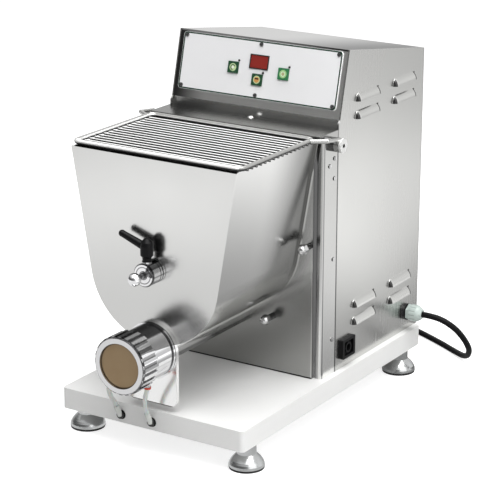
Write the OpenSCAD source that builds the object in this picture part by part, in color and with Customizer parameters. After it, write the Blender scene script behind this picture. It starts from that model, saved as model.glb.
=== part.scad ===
// Electric pasta maker: a white board on four levelling feet carries a sheet steel casing with a
// sloped control head. In front of the casing hang a dough hopper with a mixing shaft, a wire lid,
// and a screw press whose water-cooled mouth ends in a die held by a ring nut.
// Millimetres. +Z is up, +X is right, +Y is back. Modules are drawn with y = 0 at the board's front
// edge and z = 0 on the table, and placed() moves them so that the origin is under the middle.

/* [Board and feet] */
// Width of the board
board_w = 300; // [280:1:340]
// Depth of the board
board_d = 500; // [480:1:560]
// Thickness of the board
board_t = 30; // [20:1:40]
// Radius of the board's upright corners
board_r = 7; // [3:1:15]
// Height of the board above the table
foot_h = 36; // [30:1:60]
// Radius of a foot's bell
foot_r = 25; // [20:1:30]
// Radius of a foot's neck
foot_neck_r = 13.5; // [10:0.5:16]
// Thickness of a foot's rubber pad
pad_t = 2.5; // [1.5:0.5:5]
// Distance from the board's side edge to the middle of a foot
foot_inset_x = 17; // [15:1:30]
// Distance from the board's front or rear edge to the middle of a foot
foot_inset_y = 36; // [28:1:60]
// Radius of a foot's threaded stud
foot_stud_r = 5; // [4:0.5:6]

/* [Casing] */
// Width of the casing
case_w = 280; // [272:1:300]
// Thickness of the casing's sheet
sheet_t = 2; // [1.2:0.1:2.4]
// Distance from the board's front edge to the casing's back
case_back = 505; // [500:1:540]
// Distance from the board's front edge to the column plate's front face
plate_y = 215; // [205:1:230]
// Thickness of the column plate
plate_t = 5; // [4:0.5:8]
// Half the width of the column plate
plate_hw = 127; // [122:1:132]
// Distance from the column plate to the seam between column and rear casing
seam_back = 42.5; // [36:0.5:55]
// Radius of the column's upright front corners
column_r = 5; // [3:0.5:8]
// Height of the column's cover above the board
column_h = 355; // [352:1:375]
// Height of the head's lower front edge above the board
head_h = 367; // [365:1:385]
// Distance from the seam back to the head's lower front edge
head_back = 4.5; // [3:0.5:8]
// Length of the head's sloped face
head_face = 97; // [90:1:115]
// Backward tilt of the head's face, in degrees
head_tilt = 14; // [8:1:22]
// Height of the casing's top at its back, above the board
back_h = 426; // [400:1:440]
// Length of a louvre
louvre_len = 69; // [40:1:78]
// Radius of a louvre's bulge
louvre_r = 13.5; // [11:0.5:18]
// Reach of a louvre's lip out of the side
louvre_out = 6.5; // [4:0.5:8]

/* [Control panel] */
// Width of the control panel
panel_w = 262; // [240:1:268]
// Height of the control panel
panel_h = 82; // [70:1:88]
// Thickness of the control panel
panel_t = 1.5; // [1:0.5:2]
// Distance along the sloped face from its lower edge to the panel
panel_up = 12; // [6:1:14]
// Width of a push button's cap
button_w = 17; // [14:1:19]
// Height of a push button's cap
button_h = 16; // [13:1:17]
// Travel of a push button
button_travel = 1.2; // [0.8:0.1:1.6]
// Distance of the outer buttons from the middle
button_x = 41.5; // [34:0.5:60]
// Width of the display's bezel
display_w = 31; // [26:1:36]
// Height of the display's bezel
display_h = 20.5; // [16:0.5:24]

/* [Hopper] */
// Distance from the board's front edge to the hopper's front plate
hopper_y = 12; // [8:1:20]
// Thickness of the hopper's end plates
hopper_plate_t = 2.5; // [1.5:0.5:3]
// Thickness of the trough's sheet
trough_t = 1.5; // [1:0.1:2.5]
// Outer radius of the trough's round bottom
trough_r = 102.5; // [98:0.5:104]
// Half the width of the hopper's rim
rim_hw = 130.5; // [124:0.5:132]
// Height of the rim above the mixing shaft
rim_up = 154; // [140:1:158]
// Height of the mixing shaft above the press screw
axis_gap = 110; // [110:1:110]

/* [Press] */
// Height of the press screw's axis above the board
press_h = 84; // [78:1:90]
// Outer radius of the barrel
barrel_r = 24; // [23:0.5:26]
// Wall of the barrel
barrel_wall = 3.5; // [2.5:0.5:4]
// Radius of the mouth's body
mouth_r = 37.5; // [36:0.5:39]
// Radius of the mouth's rear flange
flange_r = 39.5; // [38:0.5:42]
// Reach of the ring nut in front of the board's front edge
mouth_reach = 69; // [60:1:80]
// Length of the ring nut
nut_len = 33; // [28:1:38]
// Outer radius of the ring nut
nut_r = 41; // [38:0.5:43]
// Number of grooves round the ring nut
nut_grooves = 24; // [12:1:28]
// Radius of the opening in the ring nut
die_open_r = 31.25; // [28:0.25:32]
// Thickness of the mouth's support plate
mouth_plate_t = 6; // [4:0.5:8]
// Gap between the mouth's support plate and the board
mouth_plate_gap = 8; // [4:1:14]
// Pitch of the press screw
screw_pitch = 32; // [26:1:40]

/* [Mixer] */
// Radius of the mixing shaft
mixer_r = 11; // [10:0.5:14]
// Reach of the mixing blades from the shaft's axis
blade_reach = 83; // [70:1:83]
// Radius of the pin that carries the shaft's front end
pin_r = 6; // [5:0.5:7]
// Radius of the boss on the hopper's front
boss_r = 16.5; // [14:0.5:20]
// Reach of the boss in front of the hopper
boss_len = 21; // [18:1:28]
// Radius of the ball on the pull pin
ball_r = 9; // [7:0.5:10]
// Travel of the pull pin
pin_travel = 24; // [20:1:28]

/* [Wire lid] */
// Half the width of the lid's frame, between rod centres
lid_hw = 133.5; // [131:0.5:135]
// Radius of the frame's rod
lid_rod_r = 3.5; // [3:0.25:4]
// Radius of a bar
lid_bar_r = 1.3; // [1.2:0.1:2]
// Number of bars
lid_bars = 16; // [12:1:20]
// Height of the lid's hinge above the board
hinge_h = 340; // [338:1:344]
// Distance from the column plate back to the hinge axis
hinge_back = 21; // [18:1:24]
// Radius of a hinge boss
hinge_r = 10; // [8:0.5:11]

/* [Power lead] */
// Diameter of the lead
lead_d = 9; // [7:0.5:9]

/* [Hidden] */
$fn = 48;
fit = 0.05;
gap = 0.3;
over = 1;
board_top = foot_h + board_t;
mid_y = (case_back - mouth_reach) / 2;
case_hw = case_w / 2;
inner_hw = case_hw - sheet_t;
seam_y = plate_y + seam_back;
frame_y = plate_y + plate_t;
cover_z = board_top + column_h;
cover_drop = 10;

foot_xs = [-1, 1] * (board_w / 2 - foot_inset_x);
foot_ys = [foot_inset_y, board_d - foot_inset_y];
foot_stud_up = 22;
bell_rim = 1.5;
bell_h = (foot_h - pad_t) / 2;
base_screw_x = case_hw - 14;
base_screw_ys = [seam_y + 45, case_back - 85];
base_head_r = 5;
base_head_h = 5;
base_shank_r = 3;

face_y = seam_y + head_back;
face_z = board_top + head_h;
back_z = board_top + back_h;
roof_lip = 2.2;
panel_mid = panel_up + panel_h / 2;
panel_r = 5;
display_v = panel_mid + 11;
button_mid_v = panel_mid - 14;
button_v = panel_mid - 1;
led_r = 1.6;
board_depth = 14;
window_w = 2 * button_x + button_w + 10;
window_h = panel_h - 30;
circuit_w = window_w + 80;
circuit_h = window_h + 14;
panel_screw_x = min(case_w, panel_w) / 2 - 5.5;
panel_screw_v = panel_h / 2 - 5;
switch_top = 2.4;
stem_r = 2.5;
cap_back = 4;
cap_front = 3.2;

louvre_ys = [seam_y + 45, seam_y + 152.5];
louvre_zs = [62.5, 88.5, 366, 391];
louvre_h = sqrt(louvre_out * (2 * louvre_r - louvre_out));
louvre_end = 9;
louvre_wall = 1.5;

press_z = board_top + press_h;
mixer_z = press_z + axis_gap;
rim_z = mixer_z + rim_up;
bore_r = barrel_r - barrel_wall;
hopper_in = hopper_y + hopper_plate_t;
hopper_back = plate_y - hopper_plate_t;
rim_edge = 1.5;
slot_hw = 18;
plate_hole_r = 14;

nut_front = -mouth_reach;
nut_back = nut_front + nut_len;
nut_lip = 4;
nut_groove_w = 4.8;
nut_groove_t = 3;
nut_face_t = 2.5;
nut_face_r = nut_r - 1.5;
nose_r = nut_r - 6.5;
nose_front = nut_front + nut_lip + 8;
die_face = nut_front + 3;
barrel_front = -8;
flange_t = 4;
mouth_back = hopper_y - mouth_plate_t;
chamber_r = 28.5;

shaft_r = 10;
seal_r = 18;
screw_r = bore_r - 0.7;
screw_core = 8;
screw_front = -20;
screw_back = plate_y - 9.5;
shaft_front = hopper_in + 2.5;
tenon = 12;
tenon_len = 13;
screw_tenon = 8;

tooth_m = 4;
mixer_teeth = 32;
screw_teeth = 23;
drive_teeth = 14;
pressure_angle = 25;
backlash = 0.36;
gear_y = frame_y + 10;
gear_t = 20;
case_wall = 6;
gear_room = 40;
gear_space = 10;
pinion_room = tooth_m * drive_teeth / 2 + gear_space - 4;
link_hw = 50;
drive_x = tooth_m * (screw_teeth + drive_teeth) / 2;
gear_case_back = frame_y + gear_room + 8;
drive_shaft_r = 10;
pinion_tail = 24;
motor_r = inner_hw - drive_x - 8;
reducer_back = gear_case_back + 64;
motor_back = case_back - 25;
stator_back = motor_back - 22;
fin_step = 10;
power_len = 170;
power_h = 160;
power_y = seam_y + 50;
power_z = board_top + 30;
power_x = -inner_hw + 9.6;
relay_step = 34;

boss_front = hopper_y - boss_len;
boss_lip = 2;
lever_y = hopper_y - 14;
lever_z = mixer_z + boss_r + 1.5;
lever_h = 31;
lever_rise = 19;
lever_reach = 42;
ball_y = boss_front - boss_lip - 20;

stud_spots = [[plate_hw - 5, mixer_z + 2], [plate_hw / 2 - 1.5, press_z - 2]];
stud_r = 4;
stud_out = 24;

hinge_y = plate_y + hinge_back;
hinge_z = board_top + hinge_h;
hinge_pin_r = 4;
boss_out = 10;
eye_t = 7.4;
cap_t = 3.2;
eye_x = case_hw + boss_out + gap;
cap_x = eye_x + eye_t + gap;
arm_x = eye_x + eye_t / 2;
arm_r = eye_t / 2 - 0.7;
bar_z = rim_z + gap + lid_bar_r;
lid_z = rim_z + gap + lid_rod_r + 0.4;
lid_front = hopper_y + 8;
lid_back = plate_y - 13;
lid_corner = 10;

outlet_y = seam_y + 30.5;
outlet_z = board_top + 29;
outlet_w = 35;
outlet_h = 29;
outlet_out = 6;
outlet_bore_r = 5.5;

gland_y = 468.5;
gland_z = 95;
gland_r = 10;
gland_tip = 169;
gland_hex_r = gland_r + 2.8;
gland_ring_r = gland_r + 2.3;
washer_x = case_hw + 3.4;
hex_x = washer_x + 2.2;
nut_x = hex_x + 5;

hose_r = 3.2;
hose_sides = 10;
tap_z = foot_h + board_t / 2 - 3;
// Hose routes, from the taps on the board's front up to the mouth
hose_right = [[3, -11.5, 65], [3.5, -14, 71], [5, -18, 79], [8, -22.5, 88], [11.7, -26, 96.5],
              [14.8, -27.7, 103.5], [16, -28, 109.5]];
hose_left = [[-48, -11.5, 65], [-49, -14, 71], [-52, -18, 80], [-52, -22, 90], [-49, -25.5, 99],
             [-44, -27.5, 106], [-37.5, -28, 112.5], [-31.5, -28, 118.5]];

// Route of the power lead, measured from the origin: from the gland to the coil, then to the plug
lead_r = lead_d / 2;
lead_sides = 10;
lead_route = [[169, 250.5, 95], [182, 250.5, 95], [196, 251, 93.5], [209, 253.5, 88.5], [220, 259.5, 79],
              [227, 268, 66.5], [230, 279, 52], [228, 291.5, 38.5], [221, 305, 26], [211, 320, 16],
              [198, 334, 9], [182, 347, 6], [164, 359, 5], [144, 371, 5], [122, 383, 5], [99, 395, 5],
              [75, 406, 5], [50, 414, 5], [25, 418, 5], [10, 418, 5]];
tail_route = [[-10, 418, 14.6], [-20, 418, 14.6], [-38, 417, 13], [-58, 414, 9], [-78, 409, 7], [-98, 401, 9],
              [-116, 390, 14], [-130, 377, 18], [-139, 366, 19], [-145, 358, 19]];
coil_at = [0, 360, 5];
coil_out_r = 58;
coil_pitch = 9.6;
coil_turns = 2;
coil_rings = 24;
coil_sides = 6;
plug_at = [-145, 358, 19];
plug_turn = 233;

// ---- placing and drawing helpers ----

module placed() translate([0, -mid_y, 0]) children();

// A flat shape drawn as seen from the front, from y0 back to y0 + t
module front_plate(y0, t) translate([0, y0 + t, 0]) rotate([90, 0, 0]) linear_extrude(t) children();

// A flat shape drawn as seen from the right, from x0 to x0 + t
module side_plate(x0, t) translate([x0, 0, 0]) rotate([90, 0, 90]) linear_extrude(t) children();

// Round bars along each axis
module bar_x(y, z, x0, x1, r) translate([x0, y, z]) rotate([0, 90, 0]) cylinder(h = x1 - x0, r = r);
module bar_y(x, z, y0, y1, r) translate([x, y0, z]) rotate([-90, 0, 0]) cylinder(h = y1 - y0, r = r);
module bar_z(x, y, z0, z1, r) translate([x, y, z0]) cylinder(h = z1 - z0, r = r);

// A round bar between two points
module rod(a, b, r, r_end = undef) {
    d = b - a;
    translate(a)
        rotate([0, acos(d.z / norm(d)), atan2(d.y, d.x)])
            cylinder(h = norm(d), r1 = r, r2 = is_undef(r_end) ? r : r_end);
}

module box(from, to) translate(from) cube(to - from);

module rounded(w, h, r) {
    square([w - 2 * r, h], center = true);
    square([w, h - 2 * r], center = true);
    for (sx = [-1, 1], sy = [-1, 1])
        translate([sx * (w / 2 - r), sy * (h / 2 - r)]) circle(r);
}

module both_sides() {
    children();
    mirror([1, 0, 0]) children();
}

// The sloped face: x along it, y up it, z out of it
module on_face() translate([0, face_y, face_z]) rotate([90 - head_tilt, 0, 0]) children();
module face_plate(out, t) translate([0, 0, out]) linear_extrude(t) children();
function face_point(up, out) =
    [face_y + up * sin(head_tilt) - out * cos(head_tilt), face_z + up * cos(head_tilt) + out * sin(head_tilt)];

// A tube swept along points, with its end rings square to the end segments
function unit(v) = v / norm(v);
function tangent(p, i) =
    i == 0 ? unit(p[1] - p[0])
    : i == len(p) - 1 ? unit(p[i] - p[i - 1])
    : unit(unit(p[i + 1] - p[i]) + unit(p[i] - p[i - 1]));
function side_of(t) = unit(cross(abs(t.z) > 0.9 ? [1, 0, 0] : [0, 0, 1], t));
function carry(p, i, u) = i == len(p) ? []
    : let (t = tangent(p, i), v = unit(u - (u * t) * t)) concat([v], carry(p, i + 1, v));
function ring(c, t, u, r, n) =
    let (w = cross(t, u)) [for (k = [0 : n - 1]) c + r * (cos(360 * k / n) * u + sin(360 * k / n) * w)];
module tube(p, r, n) {
    us = carry(p, 0, side_of(tangent(p, 0)));
    rings = [for (i = [0 : len(p) - 1]) each ring(p[i], tangent(p, i), us[i], r, n)];
    last = (len(p) - 1) * n;
    polyhedron(rings, concat(
        [for (k = [1 : n - 2]) [0, k + 1, k]],
        [for (i = [0 : len(p) - 2], k = [0 : n - 1]) [i * n + k, i * n + (k + 1) % n, (i + 1) * n + k]],
        [for (i = [0 : len(p) - 2], k = [0 : n - 1])
            [i * n + (k + 1) % n, (i + 1) * n + (k + 1) % n, (i + 1) * n + k]],
        [for (k = [1 : n - 2]) [last, last + k, last + k + 1]]));
}

// ---- board and feet ----

module base_board() color("white") placed() difference() {
    translate([0, board_d / 2, foot_h]) linear_extrude(board_t) rounded(board_w, board_d, board_r);
    for (x = foot_xs, y = foot_ys) bar_z(x, y, foot_h - over, foot_h + foot_stud_up + 1, foot_stud_r + fit);
    for (x = [-base_screw_x, base_screw_x], y = base_screw_ys) {
        bar_z(x, y, foot_h - over, board_top + over, base_shank_r + fit);
        bar_z(x, y, foot_h - over, foot_h + base_head_h + 2, base_head_r + fit);
    }
    for (x = [hose_left[0].x, hose_right[0].x]) bar_y(x, tap_z, -over, 12, 4 + fit);
}

module foot(x, y) color("silver") placed() translate([x, y, 0]) {
    cylinder(h = pad_t, r = foot_r - 0.6);
    rotate_extrude() polygon(concat(
        [[0, pad_t], [foot_r, pad_t]],
        [for (k = [0 : 6])
            [foot_r - (foot_r - foot_neck_r) * pow(k / 6, 1.7), pad_t + bell_rim + bell_h * k / 6]],
        [[foot_neck_r, foot_h], [0, foot_h]]));
    bar_z(0, 0, foot_h - over, foot_h + foot_stud_up, foot_stud_r);
}
module foot_front_left() foot(foot_xs[0], foot_ys[0]);
module foot_front_right() foot(foot_xs[1], foot_ys[0]);
module foot_rear_left() foot(foot_xs[0], foot_ys[1]);
module foot_rear_right() foot(foot_xs[1], foot_ys[1]);

// ---- casing ----

// A slotted screw along +Z whose head sits on z = 0
module slotted_screw(head_r, head_h, shank_r, shank_l) {
    difference() {
        cylinder(h = head_h, r = head_r);
        translate([-head_r, -0.4, head_h - 0.6]) cube([2 * head_r, 0.8, 1]);
    }
    translate([0, 0, -shank_l]) cylinder(h = shank_l + 0.1, r = shank_r);
}

side_screw_y = seam_y - 9;
side_screw_zs = [51.5, 171, 288];
hinge_screws = [[seam_y - 9, 316.5], [seam_y - 22, 308]];
rear_screw_zs = [24, 210, back_h - 22];

module side_screw(y, up) translate([case_hw, y, board_top + up]) rotate([0, 90, 0])
    slotted_screw(3, 1.3, 1.9, 8);

module casing_screws() color("lightgray") placed() {
    both_sides() for (up = side_screw_zs) side_screw(side_screw_y, up);
    for (s = hinge_screws) side_screw(s.x, s.y);
    on_face() for (s = screw_spots) translate([s.x, s.y, panel_t]) rotate([0, 0, 40])
        slotted_screw(3, 1.2, 1.5, 7);
    both_sides() for (up = rear_screw_zs)
        translate([inner_hw - 8, case_back - sheet_t, board_top + up]) rotate([-90, 0, 0])
            slotted_screw(3, 1.5, 1.9, 8);
    translate([0, seam_y - 4, cover_z]) {
        intersection() {
            translate([0, 0, -4]) sphere(r = 6.4);
            cylinder(h = 4, r = 6);
        }
        translate([0, 0, -8]) cylinder(h = 8.1, r = 2.5);
    }
    for (x = [-base_screw_x, base_screw_x], y = base_screw_ys) {
        difference() {
            bar_z(x, y, foot_h + 2, foot_h + 2 + base_head_h, base_head_r);
            bar_z(x, y, foot_h, foot_h + 4.5, 2.5);
        }
        bar_z(x, y, foot_h + 1 + base_head_h, board_top + 10, base_shank_r);
    }
}

// The folded sheet behind the column plate, seen from above
module column_corner() {
    difference() {
        union() {
            translate([plate_hw - 12, frame_y]) square([case_hw - column_r - plate_hw + 12, sheet_t]);
            translate([inner_hw, frame_y + column_r]) square([sheet_t, seam_y - gap - frame_y - column_r]);
            translate([case_hw - column_r, frame_y + column_r]) circle(column_r);
        }
        translate([case_hw - column_r, frame_y + column_r]) circle(column_r - sheet_t);
        translate([plate_hw - 12, frame_y + sheet_t]) square([inner_hw - plate_hw + 12, seam_back]);
    }
}

module column_frame() color("silver") placed() difference() {
    union() {
        both_sides() translate([0, 0, board_top]) linear_extrude(column_h - cover_drop - gap) column_corner();
        for (z = [board_top, cover_z - cover_drop - gap - 20])
            box([-plate_hw + 11, frame_y, z], [plate_hw - 11, frame_y + sheet_t, z + 20]);
    }
    both_sides() for (up = side_screw_zs)
        bar_x(side_screw_y, board_top + up, case_hw - 5, case_hw + over, 1.9 + fit);
    for (s = hinge_screws) bar_x(s.x, board_top + s.y, case_hw - 5, case_hw + over, 1.9 + fit);
    both_sides() bar_x(hinge_y, hinge_z, case_hw - 5, case_hw + over, hinge_pin_r + fit);
}

module column_plate() color("gray") placed() difference() {
    box([-plate_hw, plate_y, board_top], [plate_hw, frame_y, cover_z - 8]);
    for (z = [press_z, mixer_z]) bar_y(0, z, plate_y - over, frame_y + over, plate_hole_r + fit);
    for (s = stud_spots, m = [-1, 1]) bar_y(m * s.x, s.y, plate_y - over, frame_y + over, stud_r + fit);
}

cover_front = plate_y - 6;
cover_lip_z = rim_z + gap;

module column_cover() color("dimgray") placed() difference() {
    union() {
        box([-case_hw, cover_front, cover_z - sheet_t], [case_hw, seam_y - gap, cover_z]);
        box([-inner_hw + gap, seam_y - over, cover_z - sheet_t], [inner_hw - gap, face_y + 4, cover_z]);
        box([-case_hw, cover_front, cover_lip_z], [case_hw, cover_front + sheet_t, cover_z]);
        both_sides()
            box([inner_hw, frame_y, cover_z - cover_drop], [case_hw, seam_y - gap, cover_z]);
        box([-inner_hw + gap, face_y + 2, cover_z - sheet_t], [inner_hw - gap, face_y + 4, face_z - 0.6]);
    }
    bar_z(0, seam_y - 4, cover_z - 5, cover_z + over, 2.5 + fit);
}

function side_outline() = [[seam_y, board_top], [case_back, board_top], [case_back, back_z],
                           face_point(head_face, 0), face_point(0, 0), [seam_y, face_z - 5]];

// A louvre is the upper outer quarter of a round-ended bar whose axis lies inside the side panel
module louvre_bar(r, end, len) translate([case_hw + louvre_out - louvre_r, 0, 0]) rotate([-90, 0, 0])
    rotate_extrude() polygon(concat(
        [for (k = [0 : 5]) [r * sin(18 * k), end * (1 - cos(18 * k))]],
        [for (k = [5 : -1 : 0]) [r * sin(18 * k), len - end * (1 - cos(18 * k))]]));

module louvre_at(y, up) translate([0, y, board_top + up - louvre_h / 2]) intersection() {
    children();
    box([inner_hw - over, -over, 0], [case_hw + louvre_out + over, louvre_len + over, louvre_h + 2 * over]);
}

module side_panel() difference() {
    union() {
        side_plate(inner_hw, sheet_t) polygon(side_outline());
        box([inner_hw - 24, seam_y + 4, board_top], [inner_hw + 0.1, case_back - 5, board_top + sheet_t]);
        for (y = louvre_ys, up = louvre_zs) louvre_at(y, up) difference() {
            louvre_bar(louvre_r, louvre_end, louvre_len);
            box([0, -over, -over], [inner_hw + 0.5, louvre_len + over, louvre_h + 3 * over]);
        }
    }
    for (y = louvre_ys, up = louvre_zs)
        translate([0, louvre_wall, -0.01]) louvre_at(y, up)
            louvre_bar(louvre_r - louvre_wall, louvre_end - louvre_wall, louvre_len - 2 * louvre_wall);
    for (y = base_screw_ys) bar_z(base_screw_x, y, board_top - over, board_top + 5, base_shank_r + fit);
}

module side_panel_right() color("lightgray") placed() difference() {
    side_panel();
    bar_x(gland_y, gland_z, inner_hw - over, case_hw + over, gland_r + fit);
    box([inner_hw - over, outlet_y - 13, outlet_z - 11], [case_hw + over, outlet_y + 13, outlet_z + 11]);
}

module side_panel_left() color("lightgray") placed() mirror([1, 0, 0]) side_panel();

module top_panel() color("lightgray") placed()
    side_plate(-inner_hw, 2 * inner_hw)
        polygon([face_point(head_face, 0), [case_back, back_z], [case_back, back_z - sheet_t],
                 face_point(head_face - roof_lip, -roof_lip), face_point(head_face - roof_lip, 0)]);

module rear_panel() color("lightgray") placed() difference() {
    box([-inner_hw, case_back - 2 * sheet_t, board_top],
        [inner_hw, case_back - sheet_t, back_z - sheet_t - 0.2]);
    for (up = [60 : 14 : 130], x = [-78, -26, 26, 78])
        translate([x, case_back - 3 * sheet_t, board_top + up]) rotate([-90, 0, 0]) linear_extrude(4 * sheet_t)
            rounded(40, 4, 1.9);
    both_sides() for (up = rear_screw_zs)
        bar_y(inner_hw - 8, board_top + up, case_back - 3 * sheet_t, case_back, 1.9 + fit);
}

// ---- control head ----

module button_hole(grow) square([button_w + 2 * grow, button_h + 2 * grow], center = true);
button_spots = [[-button_x, button_v], [0, button_mid_v], [button_x, button_v]];
led_shift = [button_w / 2 - 0.3, button_h / 2 + 2.5];
screw_spots = [for (x = [-1, 0, 1], v = [-1, 1]) [x * panel_screw_x, panel_mid + v * panel_screw_v]];

module head_fascia() color("gray") placed() on_face() difference() {
    face_plate(-sheet_t, sheet_t) translate([-inner_hw, 0]) square([2 * inner_hw, head_face - roof_lip - 0.1]);
    face_plate(-sheet_t - over, sheet_t + 2 * over) translate([0, panel_mid])
        square([window_w, window_h], center = true);
    for (s = screw_spots) translate([s.x, s.y, -5]) cylinder(h = 10, r = 1.5 + fit);
}

module control_panel() color("whitesmoke") placed() on_face() difference() {
    face_plate(0, panel_t) translate([0, panel_mid]) rounded(panel_w, panel_h, panel_r);
    translate([0, 0, -over]) linear_extrude(panel_t + 2 * over) {
        for (b = button_spots) translate(b) button_hole(gap);
        translate([0, display_v]) square([display_w, display_h], center = true);
    }
    for (b = button_spots) translate([b.x + led_shift.x, b.y + led_shift.y, -over])
        cylinder(h = panel_t + 2 * over, r = led_r + fit);
    for (s = screw_spots) translate([s.x, s.y, -over]) cylinder(h = panel_t + 2 * over, r = 1.5 + fit);
}

module display_bezel() color("black") placed() on_face() difference() {
    face_plate(-board_depth, board_depth + panel_t + 1) translate([0, display_v])
        square([display_w, display_h], center = true);
    face_plate(-board_depth + 3, board_depth + 3) translate([0, display_v])
        square([display_w - 3, display_h - 3], center = true);
}

module display_window() color("darkred") placed() on_face()
    face_plate(-board_depth + 3, board_depth - 3 + panel_t + 0.6) translate([0, display_v])
        square([display_w - 3, display_h - 3], center = true);

module button(at) color("darkgreen") placed() on_face() translate([at.x, at.y, 0]) {
    translate([0, 0, -cap_back]) linear_extrude(cap_back + cap_front) button_hole(0);
    translate([0, 0, -board_depth + switch_top + button_travel])
        cylinder(h = board_depth - cap_back, r = stem_r);
}
module button_left() button(button_spots[0]);
module button_middle() button(button_spots[1]);
module button_right() button(button_spots[2]);

module led_lenses() color("black") placed() on_face()
    for (b = button_spots) translate([b.x + led_shift.x, b.y + led_shift.y, -board_depth])
        cylinder(h = board_depth + panel_t + 0.8, r = led_r);

module control_board() color("green") placed() on_face() difference() {
    union() {
        face_plate(-board_depth - 1.6, 1.6) translate([0, panel_mid])
            square([circuit_w, circuit_h], center = true);
        for (b = button_spots) translate([b.x, b.y, -board_depth]) linear_extrude(switch_top)
            square(11, center = true);
        for (m = [-1, 1], n = [-1, 1])
            translate([m * (circuit_w / 2 - 7), panel_mid + n * (circuit_h / 2 - 5), -board_depth])
            cylinder(h = board_depth - sheet_t, r = 3.5);
    }
    for (b = button_spots) translate([b.x, b.y, -board_depth + switch_top - button_travel])
        cylinder(h = 5, r = stem_r + 0.6);
}

// ---- hopper ----

// The hopper's outline round the mixing shaft: a round bottom with sides tangent to it
function side_tangent(hw, h, r) = atan2(h, hw) - acos(r / norm([hw, h]));
module hopper_outline(grow, top) {
    r = trough_r + grow;
    hw = rim_hw + grow;
    a = side_tangent(hw, rim_up, r);
    lift = (top - rim_up) * (hw - r * cos(a)) / (rim_up - r * sin(a));
    translate([0, mixer_z]) {
        circle(r, $fn = 96);
        polygon([[hw + lift, top], [-hw - lift, top], [-r * cos(a), r * sin(a)], [r * cos(a), r * sin(a)]]);
    }
}

module hopper_trough() color("lightgray") placed() difference() {
    front_plate(hopper_in, hopper_back - hopper_in) difference() {
        hopper_outline(0, rim_up);
        hopper_outline(-trough_t, rim_up + over);
    }
    bar_y(0, press_z, hopper_in - over, hopper_back + over, barrel_r + fit);
}

module hopper_front() color("gainsboro") placed() difference() {
    front_plate(hopper_y, hopper_plate_t) hopper_outline(rim_edge, rim_up);
    bar_y(0, press_z, hopper_y - over, hopper_in + over, barrel_r + fit);
    bar_y(0, mixer_z, hopper_y - over, hopper_in + over, pin_r + fit);
}

module hopper_rear() color("lightgray") placed() difference() {
    front_plate(hopper_back, hopper_plate_t) hopper_outline(2 * rim_edge, rim_up);
    bar_y(0, press_z, hopper_back - over, plate_y + over, barrel_r + fit);
    bar_y(0, mixer_z, hopper_back - over, plate_y + over, seal_r + fit);
}

// ---- press ----

module barrel() color("silver") placed() difference() {
    bar_y(0, press_z, barrel_front, plate_y, barrel_r);
    bar_y(0, press_z, barrel_front - over, plate_y + over, bore_r);
    box([-slot_hw, hopper_in + 1.5, press_z], [slot_hw, hopper_back - 8, press_z + barrel_r + over]);
}

mouth_plate_r = flange_r + 0.5;
module mouth_plate() color("gainsboro") placed() difference() {
    front_plate(mouth_back, mouth_plate_t) {
        corner = 10;
        low = board_top + mouth_plate_gap;
        translate([0, press_z]) circle(mouth_plate_r);
        translate([-mouth_plate_r, low + corner]) square([2 * mouth_plate_r, press_z - low - corner]);
        translate([-mouth_plate_r + corner, low]) square([2 * (mouth_plate_r - corner), corner + 1]);
        for (m = [-1, 1]) translate([m * (mouth_plate_r - corner), low + corner]) circle(corner);
    }
    bar_y(0, press_z, mouth_back - over, hopper_y + over, barrel_r + fit);
}

module mouth_body() color("silver") placed() difference() {
    union() {
        bar_y(0, press_z, mouth_back - flange_t, mouth_back, flange_r);
        bar_y(0, press_z, nut_back + gap, mouth_back, mouth_r);
        bar_y(0, press_z, nose_front, nut_back + 1, nose_r);
    }
    bar_y(0, press_z, barrel_front, mouth_back + over, barrel_r + fit);
    bar_y(0, press_z, nose_front - over, mouth_back, bore_r);
    translate([0, nose_front - 0.01, press_z]) rotate([-90, 0, 0])
        cylinder(h = -nose_front - 20, r1 = chamber_r + 0.5, r2 = bore_r);
    bar_y(0, press_z, nose_front - over, nose_front + 8, chamber_r + 0.5);
}

module ring_nut() color("silver") placed() difference() {
    union() {
        bar_y(0, press_z, nut_front, nut_front + 1.1, nut_face_r - 1);
        bar_y(0, press_z, nut_front + 1, nut_back, nut_face_r);
        bar_y(0, press_z, nut_front + nut_face_t, nut_back, nut_r);
    }
    bar_y(0, press_z, nut_front - over, nut_back, die_open_r);
    bar_y(0, press_z, nut_front + nut_lip, nut_back + over, nose_r + fit);
    for (i = [0 : nut_grooves - 1])
        translate([0, 0, press_z]) rotate([0, 360 * (i + 0.5) / nut_grooves, 0])
            box([-nut_groove_w / 2, nut_front + nut_face_t, nut_r - nut_groove_t],
                [nut_groove_w / 2, nut_back + over, nut_r + over]);
}

module die() color("peru") placed() difference() {
    union() {
        bar_y(0, press_z, die_face, nut_front + nut_lip + 0.1, die_open_r - gap);
        bar_y(0, press_z, nut_front + nut_lip, nose_front, nose_r - gap);
        bar_y(0, press_z, nose_front - 0.1, nose_front + 6, chamber_r);
    }
    bar_y(0, press_z, nose_front - 2, nose_front + 6 + over, chamber_r - 6);
}

// The screw's cross section: a round core and one flight, a sector of the outer circle
module screw_section() {
    circle(screw_core, $fn = 16);
    polygon(concat([[0, 0]], [for (a = [-25 : 25 : 25]) screw_r * [cos(a), sin(a)]]));
}

module press_screw() color("silver") placed() difference() {
    flight_front = screw_front + 2;
    flight_back = screw_back - tenon_len - 2;
    turns = (flight_back - flight_front) / screw_pitch;
    union() {
        translate([0, flight_back, press_z]) rotate([90, 0, 0])
            linear_extrude(height = flight_back - flight_front, twist = -360 * turns,
                           slices = round(turns * 10),
                           $fn = 16)
                screw_section();
        bar_y(0, press_z, flight_back, screw_back, screw_core + 1);
        bar_y(0, press_z, screw_front, flight_front, screw_core);
    }
    box([-screw_tenon / 2 - 0.1, screw_back - tenon_len - 0.5, press_z - screw_tenon / 2 - 0.1],
        [screw_tenon / 2 + 0.1, screw_back + over, press_z + screw_tenon / 2 + 0.1]);
}

// ---- gears and shafts ----

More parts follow.
